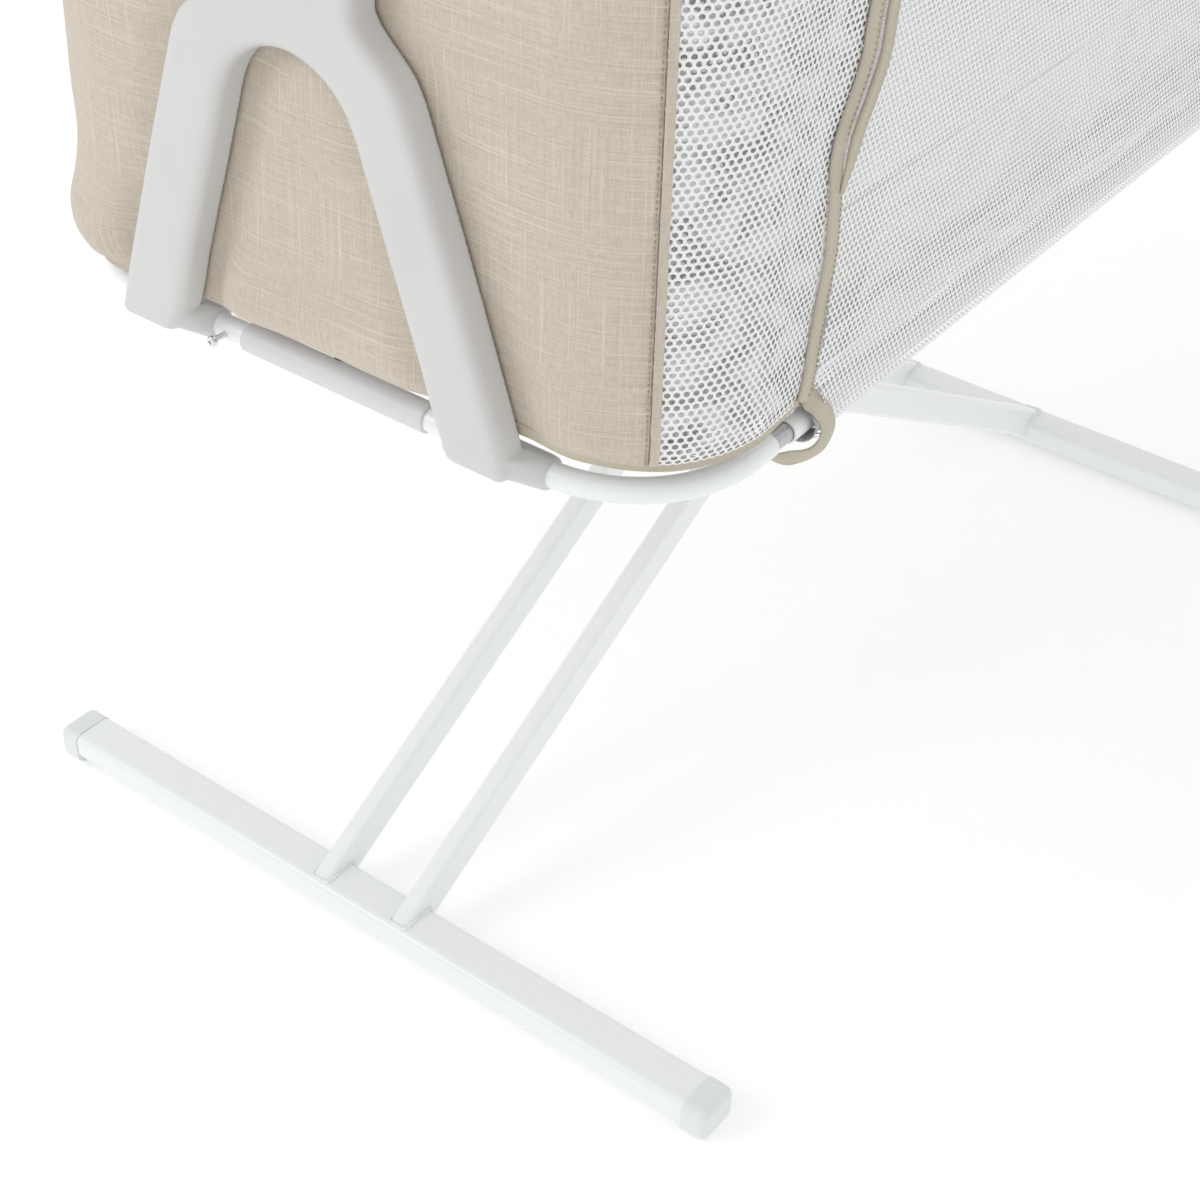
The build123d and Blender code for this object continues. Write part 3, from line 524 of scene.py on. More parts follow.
def wall(s, z, out, end):
    """Points beside the lower ring's line, out being how far outside it they lie."""
    s, z, out = np.broadcast_arrays(np.asarray(s, float), np.asarray(z, float), np.asarray(out, float))
    along = np.abs(s)
    turn = np.clip((along - ARC_START) / CORNER_R, 0, math.pi / 2)
    past = np.maximum(along - ARC_END, 0)
    x = CORNER_X + (CORNER_R + out) * np.cos(turn) - past
    y = CORNER_Y + (CORNER_R + out) * np.sin(turn)
    y = np.where(along < ARC_START, along, y)
    x = np.where(along < ARC_START, RING_X + out, x)
    return np.stack([end * x, -np.sign(s) * y, z], -1)


def wall_normal(s, end):
    """The outward direction of the wall at s."""
    turn = np.clip((np.abs(s) - ARC_START) / CORNER_R, 0, math.pi / 2)
    return np.stack([end * np.cos(turn), -np.sign(s) * np.sin(turn), np.zeros_like(turn)], -1)


def s_of_x(x):
    """s on the drop side for a distance x from the middle of the cradle."""
    return ARC_END + CORNER_X - x


def unit(vectors):
    """Vectors of length one."""
    return vectors / np.maximum(np.linalg.norm(vectors, axis=-1, keepdims=True), 1e-9)


def sweep(name, path, normals, section):
    """A closed section carried along a path. A section point is (out along the normal, sideways)."""
    path = np.asarray(path, float)
    forward = unit(np.gradient(path, axis=0))
    side = unit(np.cross(normals, forward))
    out = np.cross(forward, side)
    section = np.asarray(section, float)
    points = (path[:, None] + out[:, None] * section[None, :, :1] + side[:, None] * section[None, :, 1:])
    rows, columns = len(path), len(section)
    faces = grid_faces(rows, columns, wrapped=True)
    faces.append(tuple(range(columns))[::-1])
    faces.append(tuple(range((rows - 1) * columns, rows * columns)))
    places = np.broadcast_arrays(steps_along(path)[:, None], steps_along(section)[None, :])
    cloth = np.stack(places, -1).reshape(-1, 2)
    return new_object(name, points.reshape(-1, 3), faces, cloth)


def narrow(piece, path, sizes):
    """Scales each ring of a swept piece about its path, by one size for each ring."""
    points = vertex_places(piece).reshape(len(path), -1, 3)
    points = path[:, None] * MM + (points - path[:, None] * MM) * sizes[:, None, None]
    piece.data.vertices.foreach_set("co", points.ravel())


def round_section(radius, sides=12):
    """A circle's points."""
    angles = np.arange(sides) / sides * 2 * math.pi
    return np.stack([radius * np.cos(angles), radius * np.sin(angles)], 1)


def tape_section(width, thick, fold=0.5):
    """A folded binding's section: flat, with fuller folded edges."""
    half = width / 2
    bulge = thick / 2 + fold
    upper = [(thick / 2, 0.0), (thick / 2, half * 0.55), (bulge, half * 0.78), (thick / 2, half * 0.97)]
    right = upper + [(0.0, half)] + [(-a, b) for a, b in upper[::-1]]
    left = [(a, -b) for a, b in right[::-1][1:-1]]
    return right + left


def join(name, objects):
    """One object from several."""
    with bpy.context.temp_override(active_object=objects[0], selected_editable_objects=objects,
                                   selected_objects=objects):
        bpy.ops.object.join()
    objects[0].name = name
    objects[0].data.name = name
    return objects[0]


def stitches(name, path, normals, length=2.6, gap=1.2, radius=0.42):
    """A row of sewn stitches: small pointed threads along a path, just proud of the cloth."""
    path, normals = np.asarray(path, float), np.asarray(normals, float)
    lengths = steps_along(path)
    points, faces = [], []
    for start in np.arange(gap, lengths[-1] - length, length + gap):
        ends = [np.array([np.interp(start + step, lengths, path[:, k]) for k in range(3)])
                for step in (0, length)]
        normal = np.array([np.interp(start, lengths, normals[:, k]) for k in range(3)])
        forward = unit(ends[1] - ends[0])
        side = np.cross(normal, forward)
        base = len(points)
        points += [ends[0] - normal * radius, ends[1] - normal * radius]
        for share in (0.25, 0.75):
            centre = ends[0] + (ends[1] - ends[0]) * share
            points += [centre + radius * (normal * a + side * b)
                       for a, b in ((1.2, 0), (0, 1), (-1, 0), (0, -1))]
        for k in range(4):
            beside = (k + 1) % 4
            faces.append((base, base + 2 + beside, base + 2 + k))
            faces.append((base + 2 + k, base + 2 + beside, base + 6 + beside, base + 6 + k))
            faces.append((base + 1, base + 6 + k, base + 6 + beside))
    return new_object(name, np.array(points), faces)


def hex_net(name, s_span, t_span, inside, place):
    """A knitted net of six-sided holes over the flat cloth, carried onto the wall by place(s, t, lift)."""
    row_step = MESH_PITCH * math.sqrt(3) / 2
    rows = np.arange(t_span[0], t_span[1], row_step)
    centres = []
    for index, t in enumerate(rows):
        s = np.arange(s_span[0], s_span[1], MESH_PITCH) + (index % 2) * MESH_PITCH / 2
        centres.append(np.stack([s, np.full_like(s, t)], 1))
    centres = np.concatenate(centres)
    centres = centres[inside(centres[:, 0], centres[:, 1])]
    angles = np.radians(30 + 60 * np.arange(6))
    compass = np.stack([np.cos(angles), np.sin(angles)], 1)
    reach = MESH_PITCH / math.sqrt(3)
    ridge = (centres[:, None] + reach * compass).reshape(-1, 2)
    rim = (centres[:, None] + reach * HOLE_SHARE * compass).reshape(-1, 2)
    _, first, where = np.unique(np.round(ridge / 0.05).astype(np.int64), axis=0,
                                return_index=True, return_inverse=True)
    where = where.reshape(-1, 6)
    flat = np.concatenate([ridge[first], rim])
    lift = np.concatenate([np.full(len(first), 0.35), np.zeros(len(rim))])
    points = place(flat[:, 0], flat[:, 1], lift)
    rims = len(first) + np.arange(len(rim)).reshape(-1, 6)
    faces = []
    for k in range(6):
        beside = (k + 1) % 6
        faces.append(np.stack([where[:, k], where[:, beside], rims[:, beside], rims[:, k]], 1))
    return new_object(name, points, np.concatenate(faces).tolist(), flat)


# ---------------------------------------------------------------- the basket's shape
SEAM_S = ARC_START + CORNER_R * math.radians(41.0)
BACK_SEAM_S = ARC_END
WALL_CLOTH_TOP = WALL_TOP_Z - 2
LINEN_THICK = 1.6
# The hem: (s, height).
HEM_LINE = [(-300, 491), (-180, 494), (-110, 497), (-88, 497), (-60, 497), (0, 499), (60, 499), (104, 500),
            (170, 504), (225, 500), (300, 499), (340, 497)]
# The sides of a bracket's leg: (height, distance from the bracket's middle line).
BRACKET_OUTER = [(470, 161), (485, 156), (508, 149), (560, 131.5), (598, 118.5), (621, 110.5), (649, 100.5),
                 (674, 91.5), (691, 85), (703, 77), (712, 67), (722, 57), (729, 53), (857, 53)]
BRACKET_INNER = [(470, 113), (486, 108), (503, 101.5), (533, 92.5), (560, 83.5), (588, 74), (618, 64),
                 (645, 55), (664, 48.5), (676, 42), (686, 32), (694, 17), (697, 0)]
# The zip's line: (height, distance out along X).
ZIP_LINE = [(488, 336), (497, 331), (509, 326), (532, 321), (563, 315), (586, 310), (616, 308), (638, 307),
            (660, 305), (680, 294), (700, 284), (728, 280), (760, 275), (790, 272), (818, 271)]


def hem_z(s):
    """The height of the wall's hem."""
    return curve(s, HEM_LINE)


def zip_x(z):
    """How far out along X the zip line is, at a height: upright below, leaning in above."""
    return curve(z, ZIP_LINE)


def pressed(s, z):
    """1 where a bracket presses on the cloth, falling to 0 a hand's width away."""
    y = np.abs(s)
    outer = np.interp(z, *zip(*BRACKET_OUTER))
    inner = np.where(z < 697, np.interp(z, *zip(*BRACKET_INNER)), 0)
    beyond = np.maximum(y - outer, inner - y)
    return 1 - ease((beyond - 4) / 36)


def wall_out(s, z):
    """How far outside the ring's line the wall's cloth lies."""
    above = z - hem_z(s)
    back = curve(above, [(0, 11), (6, 19), (14, 24), (26, 25), (44, 20), (66, 15.5), (110, 14), (230, 13.5),
                         (330, 13)])
    front = curve(above, [(0, 12), (6, 15.5), (15, 17.5), (30, 17), (60, 14.5), (110, 13.5), (230, 13),
                          (330, 12.5)])
    out = back + (front - back) * ease((s + 120) / 240)
    flat_side = ease((s - SEAM_S) / 130)
    side = curve(above, [(0, 9), (20, 9), (60, 7.5), (120, 7), (330, 9)])
    out = out + (side - out) * flat_side
    limit = RING_X + out - (BRACKET_FACE_X - 1.2)
    out = out - pressed(s, z) * np.maximum(limit, 0)
    return out + 0.7 * ripple(s, z, 130, 3) * (1 - pressed(s, z)) + 0.25 * ripple(s, z * 0.4, 34, 5)


def on_wall(s, z, end, lift=0.0):
    """Points and outward directions on the wall's cloth."""
    points = wall(s, z, wall_out(s, z) + lift, end)
    return points, wall_normal(s, end)


# ---------------------------------------------------------------- brackets
BORE_R = TUBE_R + 1.2


def foot_of(name, end, side):
    """A bracket's foot: a round socket at each mouth, hulled to the lower end of the leg's plate."""
    mesh = bmesh.new()
    for y, radius in ((99, 10.4), (103, 11.0), (162, 11.0), (167.5, 10.4)):
        for across, up in round_section(radius, 32):
            mesh.verts.new((end * RING_X + across, side * y, RING_Z + up))
    plate = ((BRACKET_FACE_X + 1, 17, 109, 153), (BRACKET_OUTER_X - 1, 19, 110, 150),
             (BRACKET_OUTER_X - 1, 11, 111, 151), (BRACKET_OUTER_X - 4.5, 6, 113, 151))
    for x, up, first, last in plate:
        mesh.verts.new((end * x, side * first, RING_Z + up))
        mesh.verts.new((end * x, side * last, RING_Z + up))
    bmesh.ops.convex_hull(mesh, input=mesh.verts)
    bmesh.ops.scale(mesh, vec=(MM, MM, MM), verts=mesh.verts)
    data = bpy.data.meshes.new(name)
    mesh.to_mesh(data)
    mesh.free()
    return linked(name, data)


def even_line(points, count):
    """A smooth line through points, with its own points evenly spaced."""
    points = np.array(points, float)
    steps = steps_along(points)
    fine = np.linspace(0, steps[-1], count)
    return np.stack([curve(fine, list(zip(steps, points[:, k]))) for k in range(points.shape[1])], 1)


def bracket_plate(end_name, end):
    """A bracket's flat plate, its outer edge rounded by a stack of ever smaller outlines."""
    outer = even_line([(w, z) for z, w in BRACKET_OUTER[1:-1]], 40)
    arch = [(w, z) for z, w in BRACKET_INNER[1:]]
    inner = even_line(arch + [(-w, z) for w, z in arch[::-1][1:]], 121)[:61]
    head = [(53, 790), (53, 832), (51.5, 842), (47, 850), (39, 855.5), (28, BRACKET_TOP_Z)]
    foot = [(155.5, 481), (151, 478), (117, 478), (112, 480)]
    half = [tuple(p) for p in head[::-1]] + [(53, 750)]
    half += [tuple(p) for p in outer[::-1]] + foot + [tuple(p) for p in inner]
    sizes = [1.4 if z > 729 else 1.0 for w, z in half[:-len(inner)]] + [1.7] * len(inner)
    outline = np.array(half + [(-w, z) for w, z in half[::-1][1:]])
    sizes = np.array(sizes + sizes[::-1][1:])
    forward = np.roll(outline, -1, 0) - np.roll(outline, 1, 0)
    inward = unit(np.stack([forward[:, 1], -forward[:, 0]], 1))
    if np.sum(outline[:, 0] * np.roll(outline[:, 1], -1) - outline[:, 1] * np.roll(outline[:, 0], -1)) > 0:
        inward = -inward
    thickness = BRACKET_OUTER_X - BRACKET_FACE_X
    rings = []
    for inset, depth in ((0, 1.0), (0, thickness - 7), (0.7, thickness - 4), (2.3, thickness - 1.7),
                         (4.4, thickness - 0.5), (7.5, thickness)):
        ring = outline + inward * inset * sizes[:, None]
        x = np.full(len(ring), end * (BRACKET_FACE_X + depth))
        rings.append(np.stack([x, ring[:, 0], ring[:, 1]], 1))
    count = len(outline)
    faces = grid_faces(len(rings), count, wrapped=True)
    last = (len(rings) - 1) * count
    for first, ring, turn in ((0, rings[0], 1), (last, rings[-1], -1)):
        for corners in tessellate_polygon([[Vector(point) for point in ring]]):
            faces.append(tuple(first + corner for corner in corners[::turn]))
    return new_object(f"bracket_plate_{end_name}", np.concatenate(rings), faces)


def cut_bores(body, end):
    """Cuts the ways for the lower ring and the top rail through a bracket."""
    ring_x = end * RING_X
    cutters = []
    y_path = np.linspace(84, 190, 21)
    for side in SIDES.values():
        bend = np.maximum(y_path - CORNER_Y, 0)
        x = ring_x - end * (CORNER_R - np.sqrt(CORNER_R**2 - bend**2))
        path = np.stack([x, side * y_path, np.full_like(x, RING_Z)], 1)
        cutters.append(sweep("bore", path, np.tile((0.0, 0.0, 1.0), (21, 1)), round_section(BORE_R, 40)))
    rail_path = [(ring_x, y, RAIL_Z) for y in (-90, -30, 30, 90)]
    up = np.tile((0.0, 0.0, 1.0), (4, 1))
    cutters.append(sweep("bore", rail_path, up, round_section(RAIL_R + 0.5, 32)))
    cutter = join("bores", cutters)
    cut = body.modifiers.new("bores", "BOOLEAN")
    cut.operation = "DIFFERENCE"
    cut.object = cutter
    apply_modifiers(body)
    bpy.data.objects.remove(cutter)


def wrap_onto(body, drawn, ring_x):
    """Draws a bracket's skin back onto the shape it was made from, except beside its bores."""
    clear_of_tubes = body.vertex_groups.new(name="clear_of_tubes")
    for vertex in body.data.vertices:
        x, y, z = vertex.co / MM
        away = min(math.hypot(x - ring_x, z - RING_Z) - 14, math.hypot(x - ring_x, z - RAIL_Z) - 19)
        clear_of_tubes.add([vertex.index], float(ease(away / 12)), "REPLACE")
    for rounds in (3, 3, 2):
        wrap = body.modifiers.new("wrap", "SHRINKWRAP")
        wrap.target = drawn
        wrap.wrap_method = "NEAREST_SURFACEPOINT"
        wrap.vertex_group = "clear_of_tubes"
        smooth = body.modifiers.new("smooth", "SMOOTH")
        smooth.factor = 0.5
        smooth.iterations = rounds
        smooth.vertex_group = "clear_of_tubes"
    apply_modifiers(body)
    bpy.data.objects.remove(drawn)


def bracket_body(end_name, end):
    """A moulded A-shaped bracket: a softly rounded plate whose feet swell round the ring's tube."""
    ring_x = end * RING_X
    pieces = [bracket_plate(end_name, end)]
    pieces += [foot_of(f"foot_{side}", end, side) for side in SIDES.values()]
    head_path = [(ring_x, y, RAIL_Z) for y in (-52.5, -50, 50, 52.5)]
    up = np.tile((0.0, 0.0, 1.0), (4, 1))
    pieces.append(sweep("head", head_path, up, round_section(16.5, 24)))
    body = join(f"bracket_body_{end_name}", pieces)
    recalc = bmesh.new()
    recalc.from_mesh(body.data)
    bmesh.ops.recalc_face_normals(recalc, faces=recalc.faces)
    recalc.to_mesh(body.data)
    recalc.free()
    drawn = linked("drawn", body.data.copy())
    remesh = body.modifiers.new("remesh", "REMESH")
    remesh.mode = "VOXEL"
    remesh.voxel_size = 1.5 * MM
    smooth = body.modifiers.new("smooth", "SMOOTH")
    smooth.factor = 0.5
    smooth.iterations = 4
    apply_modifiers(body)
    cut_bores(body, end)
    wrap_onto(body, drawn, ring_x)
    body.data.shade_smooth()
    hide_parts(f"bracket_shell_{end_name}")
    dress(body, "grey_plastic", "basket")


# ---------------------------------------------------------------- end cloth, seams and hem
def seam_gather(s, z):
    """Small puckers where the end's cloth is sewn to the mesh, and the tuck at the seam itself."""
    near_seam = np.exp(-((s - SEAM_S) / 16.0) ** 2)
    tuck = -0.8 * np.exp(-((s - SEAM_S) / 2.6) ** 2)
    puckers = 0.9 * np.sin(z * 2 * math.pi / 17 + 2 * np.sin(z / 31))
    return near_seam * puckers * ease((SEAM_S + 4 - s) / 8) + tuck


def end_cloth(end_name, end):
    """The end's linen, from the seam round the drop side's corner to the seam at the back."""
    s_values = np.concatenate([
        np.linspace(-BACK_SEAM_S, -ARC_START, 40, endpoint=False),
        np.linspace(-ARC_START, ARC_START, 110, endpoint=False),
        np.linspace(ARC_START, SEAM_S - 12, 28, endpoint=False),
        np.linspace(SEAM_S - 12, SEAM_S, 14),
    ])
    share = np.linspace(0, 1, 90)[:, None] ** 1.15
    s = s_values + 0 * share
    height = hem_z(s) + (WALL_CLOTH_TOP - hem_z(s)) * share
    points = wall(s, height, wall_out(s, height) + seam_gather(s, height), end)
    cloth = grid_object(f"end_linen_{end_name}", points, s, height, turned=end > 0)
    thicken(cloth, LINEN_THICK)
    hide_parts(f"end_panel_{end_name}")
    dress(cloth, "linen", "basket")
    z = np.linspace(float(hem_z(SEAM_S)) + 1, WALL_CLOTH_TOP - 1, 120)
    points, normals = on_wall(np.full_like(z, SEAM_S + 2.4), z, end, 0.6)
    strip = sweep(f"seam_strip_{end_name}", points, normals, tape_section(5.4, 1.0, 0.25))
    dress(strip, "linen", "basket")
    points, normals = on_wall(np.full_like(z, SEAM_S - 1.8), z, end, 0.6)
    sewing = stitches(f"seam_stitches_{end_name}", points, normals)
    dress(sewing, "linen_thread", "basket")


def back_cloth():
    """The back's linen between the two back corners, with two rows of stitches at each."""
    x = np.linspace(-CORNER_X, CORNER_X, 160)[None, :]
    share = np.linspace(0, 1, 80)[:, None] ** 1.15
    bottom = float(hem_z(-BACK_SEAM_S))
    z = bottom + (WALL_CLOTH_TOP - bottom) * share + 0 * x
    s = np.full_like(z, -BACK_SEAM_S)
    out = wall_out(s, z) + 1.6 * ripple(x, z, 190, 11) * ease((CORNER_X - np.abs(x)) / 60)
    points = np.stack([x + 0 * z, RING_Y + out, z], -1)
    cloth = grid_object("back_linen", points, x, z, turned=True)
    thicken(cloth, LINEN_THICK)
    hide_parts("back_panel")
    dress(cloth, "linen", "basket")
    rows_made = []
    for end in ENDS.values():
        z_line = np.linspace(bottom + 1, WALL_CLOTH_TOP - 1, 100)
        for offset in (-3.0, 3.0):
            s_line = np.full_like(z_line, -BACK_SEAM_S + offset)
            points, normals = on_wall(s_line, z_line, end, 0.5)
            rows_made.append(stitches("row", points, normals))
    sewing = join("back_stitches", rows_made)
    dress(sewing, "linen_thread", "basket")


def hem_binding():
    """The taped hem, from each bracket round to the drop side's zips and round the back."""
    made = []
    bracket_s = 106
    mouth_s = s_of_x(float(zip_x(500)))
    for end in ENDS.values():
        for s in (np.linspace(-BACK_SEAM_S - CORNER_X, -bracket_s, 260),
                  np.linspace(bracket_s, mouth_s, 130)):
            clipped = np.maximum(s, -BACK_SEAM_S)
            lift = 5 * ease((s - mouth_s + 40) / 40)
            height = hem_z(clipped) + 0.6 + lift
            points = wall(s, height, wall_out(clipped, hem_z(clipped)) - 0.4, end)
            made.append(sweep("hem", points, wall_normal(s, end), tape_section(7.5, 2.0, 0.5)))
    dress(join("hem_binding", made), "binding", "basket")


# ---------------------------------------------------------------- corner mesh
LINING_LOW_Z = 502


def corner_mesh(end_name, end):
    """The white mesh between the linen and the zip: an outer knitted net and a looser net behind it."""

    def inside(s, z):
        return (s > SEAM_S + 3) & (s < s_of_x(zip_x(z)) - 6) & (z > hem_z(s) + 1)

    def place(s, z, lift):
        return wall(s, z, wall_out(s, z) + lift, end)

    net = hex_net(f"corner_net_{end_name}", (SEAM_S, s_of_x(255)), (496, WALL_CLOTH_TOP), inside, place)
    dress(net, "white_mesh", "basket")
    share = np.linspace(0, 1, 60)[None, :]
    height = np.linspace(0, 1, 70)[:, None]
    z = LINING_LOW_Z + (WALL_CLOTH_TOP - LINING_LOW_Z) * height + 0 * share
    s = SEAM_S + (s_of_x(zip_x(z)) - 4 - SEAM_S) * share
    gap = 2.4 + 1.5 * ripple(s, z, 42, 21)
    points = wall(s, z, wall_out(s, z) - gap, end)
    lining = grid_object(f"corner_lining_{end_name}", points, s, z)
    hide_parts(f"corner_mesh_{end_name}")
    dress(lining, "inner_mesh", "basket")


# ---------------------------------------------------------------- drop side
# The fixed mesh's section: how far outside the ring it lies, its height and how far out along X it ends.
FRONT_PROFILE = [(5.6, DROP_Z, 300), (6.6, 580, 302), (8.2, 540, 307), (9.4, 505, 313), (9.8, 484, 302),
                 (9.4, 476, 297), (8.4, 468, 296), (5.6, 463, 299), (0, 461, 306), (-5.6, 463, 314),
                 (-8.8, 469, 320), (-9.4, 477, 322), (-8.2, 490, 320), (-4, 506, 314), (2, 524, 308),
                 (6.8, 535, 304)]


def front_side():
    """The fixed mesh below the drop side, which turns round the side tube and is sewn to itself."""
    profile = np.array(FRONT_PROFILE)
    steps = steps_along(profile[:, :2])
    fine = np.linspace(0, steps[-1], 90)
    outs, heights, edges = (curve(fine, list(zip(steps, profile[:, k]))) for k in range(3))

    def place(x, t, lift):
        out = np.interp(t, fine, outs)
        z = np.interp(t, fine, heights)
        slack = 1.2 * ripple(x, t, 120, 31) * ease(t / 30) * ease((120 - t) / 40)
        from_edge = np.maximum(np.interp(t, fine, edges) - np.abs(x), 0)
        slack = slack + np.where(z < 502, 3.0 * np.exp(-from_edge / 9), 0)
        return np.stack([x, -(RING_Y + out + lift + slack), z], -1)

    def inside(x, t):
        return np.abs(x) < np.interp(t, fine, edges)

    net = hex_net("front_net", (-330, 330), (1, steps[-1]), inside, place)
    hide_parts("side_tunnels")
    dress(net, "white_mesh", "basket")
    z = np.linspace(492, DROP_Z - 1, 30)[:, None] + np.zeros((1, 150))
    x = np.linspace(-1, 1, 150)[None, :] * np.interp(z, [490, 612], [272, 234])
    out = 1.5 + 1.5 * ripple(x, z, 90, 33)
    lining = grid_object("front_lining", np.stack([x, -(RING_Y + out), z], -1), x, z)
    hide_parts("front_wall")
    dress(lining, "ribbed_mesh", "basket")
    back_tunnel()


def back_tunnel():
    """The linen tunnel round the back's side tube."""
    half_length = 312
    angles = np.radians(np.linspace(-200, 20, 24))[None, :]
    x = np.linspace(-half_length, half_length, 120)[:, None]
    radius = TUBE_R + 1.6 + 0.4 * ripple(x, angles * 12, 60, 41)
    y = RING_Y + radius * np.cos(angles)
    z = RING_Z + radius * np.sin(angles)
    tunnel = grid_object("back_tunnel", np.stack([x + 0 * y, y, z], -1), x, angles * 10)
    thicken(tunnel, 1.0)
    dress(tunnel, "linen", "basket")


def drop_side():
    """The drop side's mesh and the ribbed layer behind it, which swing with its rail."""

    def out_at(x, z):
        section = curve(z, [(DROP_Z, 6), (640, 6.4), (720, 7.2), (790, 8.5), (818, 11)])
        return section + 0.9 * ripple(x, z, 160, 51)

    def place(x, z, lift):
        return np.stack([x, -(RING_Y + out_at(x, z) + lift), z], -1)

    def inside(x, z):
        return np.abs(x) < zip_x(z) - 7

    net = hex_net("drop_net", (-300, 300), (DROP_Z + 3, WALL_CLOTH_TOP), inside, place)
    dress(net, "white_mesh", "drop_side")
    z = np.linspace(DROP_Z + 3, WALL_CLOTH_TOP, 44)[:, None] + np.zeros((1, 140))
    x = np.linspace(-1, 1, 140)[None, :] * (zip_x(z) - 9)
    lining = grid_object("drop_lining", place(x, z, -3.0 - 0.9 * ripple(x, z, 70, 53)), x, z)
    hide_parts("drop_panel")
    dress(lining, "ribbed_mesh", "drop_side")


# How far back from the zip's line, at a height: the outer band's middle, its stitches and the inner band.
OUTER_BAND = [(480, 1.0), (600, 1.0), (626, 3.0), (650, 6.5), (700, 9.5), (760, 9.5), (818, 9)]
BAND_STITCHES = [(480, 1.0), (600, 1.0), (626, 3.0), (650, 6.5), (700, 9.5), (818, 9)]
INNER_BAND = [(480, 1.0), (626, 0.5), (650, 2.8), (700, 4.0), (818, 4.0)]


def zip_flaps():
    """The bound edges of the two zips: two tapes on the basket and one on the drop side."""
    for end_name, end in ENDS.items():
        z = np.linspace(503, WALL_CLOTH_TOP - 3, 160)
        bands = []
        for width, back, lift in ((12.0, OUTER_BAND, 2.2), (7.0, INNER_BAND, 1.0)):
            s = s_of_x(zip_x(z)) - curve(z, back)
            points = wall(s, z, wall_out(s, z) + lift + 0.4 * ripple(s, z, 40, 61), end)
            bands.append(sweep("band", points, wall_normal(s, end), tape_section(width, 1.6, 0.7)))
        s = s_of_x(zip_x(z)) - curve(z, BAND_STITCHES) + 4.4
        points = wall(s, z, wall_out(s, z) + 3.6, end)
        seam = stitches("seam", points, wall_normal(s, end), 2.2, 1.4, 0.3)
        dress(join(f"zip_tape_{end_name}", bands), "binding", "basket")
        seam.name = f"zip_stitches_{end_name}"
        dress(seam, "linen_thread", "basket")
        z = np.linspace(629, WALL_CLOTH_TOP - 3, 110)
        share = ease((z - 622) / 40)
        x = end * (zip_x(z) - 0.5 - 4.0 * share)
        points = np.stack([x, np.full_like(x, -(RING_Y + 10.4)) - 2.5 * share, z], -1)
        normals = np.tile((0.0, -1.0, 0.0), (len(z), 1))
        moving = sweep(f"drop_tape_{end_name}", points, normals, tape_section(10.0, 1.8, 0.8))
        narrow(moving, points, 0.35 + 0.65 * share)
        dress(moving, "binding", "drop_side")


# A tunnel's bound mouth: (x, out, z) along the edge sewn to the mesh, and along the free rim.
MOUTH_SEWN = [(316, 5, 508), (311, 8, 500), (304, 11, 493), (296, 13, 480), (292, 13, 467), (294, 9, 452),
              (302, 5, 447), (310, 1, 446), (321, -3, 449), (329, -9, 456), (332, -12, 470), (328, -11, 484),
              (322, -6, 500)]
MOUTH_RIM = [(321, 6, 499), (319, 8, 492), (314, 11, 487), (305, 12.5, 474), (302, 11, 464), (304, 8, 457),
             (310, 5, 456), (318, 0, 457), (325, -4, 457), (333, -8, 461), (338, -10, 471), (334, -9, 482),
             (327, -4, 495)]


def tunnel_mouths():
    """The bound mouths of the drop side's tunnel, hanging loose round the necks of the tube, each with a grey
    sheet round the tube inside it as painted shade for the tunnel's shadowed inside.
    """
    fine = np.linspace(0, len(MOUTH_RIM) - 1, 90)
    edges = []
    for knots in (MOUTH_SEWN, MOUTH_RIM):
        knots = np.array(knots, float)
        edges.append(np.stack([curve(fine, list(enumerate(knots[:, k]))) for k in range(3)], 1))
    for end_name, end in ENDS.items():
        across = np.linspace(0, 1, 7)[None, :, None]
        sheet = edges[0][:, None] * (1 - across) + edges[1][:, None] * across
        bulge = np.sin(np.pi * across[..., 0]) * 1.2
        points = np.stack([end * sheet[..., 0], -(RING_Y + sheet[..., 1] + bulge), sheet[..., 2]], -1)
        points[..., 2] += 0.5 * ripple(sheet[..., 0], sheet[..., 2], 26, 71)
        band = grid_object("band", points, steps_along(points[:, 3])[:, None], 8 * across[..., 0])
        thicken(band, 1.3, 0.0)
        pieces = [band]
        for column in (0, 6):
            path = points[:, column]
            normals = unit(path - np.array([end * 315, -RING_Y, RING_Z]))
            pieces.append(sweep("fold", path, normals, round_section(1.1, 8)))
        # A grey sheet just inside the mouth, round the tube: painted shade for the tunnel's shadowed inside.
        angles = np.radians(np.linspace(-170, 110, 30))[None, :]
        x = np.linspace(314, 299, 8)[:, None]
        flare = 2.6 * np.exp(-(313 - x) / 12) + 0.3 * ripple(x, angles * 12, 22, 73)
        radius = TUBE_R + 1.8 + flare
        lining = np.stack([end * x + 0 * angles, -(RING_Y + radius * np.cos(angles)),
                           RING_Z + radius * np.sin(angles)], -1)
        tube_shade_sheet = new_object(f"mouth_shade_sheet_{end_name}", lining.reshape(-1, 3), grid_faces(8, 30))
        thicken(tube_shade_sheet, 0.6)
        dress(tube_shade_sheet, "mouth_shade_sheet", "basket")
        dress(join(f"tunnel_mouth_{end_name}", pieces), "binding", "basket")


# ---------------------------------------------------------------- rail covers
SLEEVE_R = 15.2
SLEEVE_TURN = 330.0
SLEEVE_THICK = 1.2
PIPING_R = 2.1
PIPING_Z = RAIL_Z - 17.5


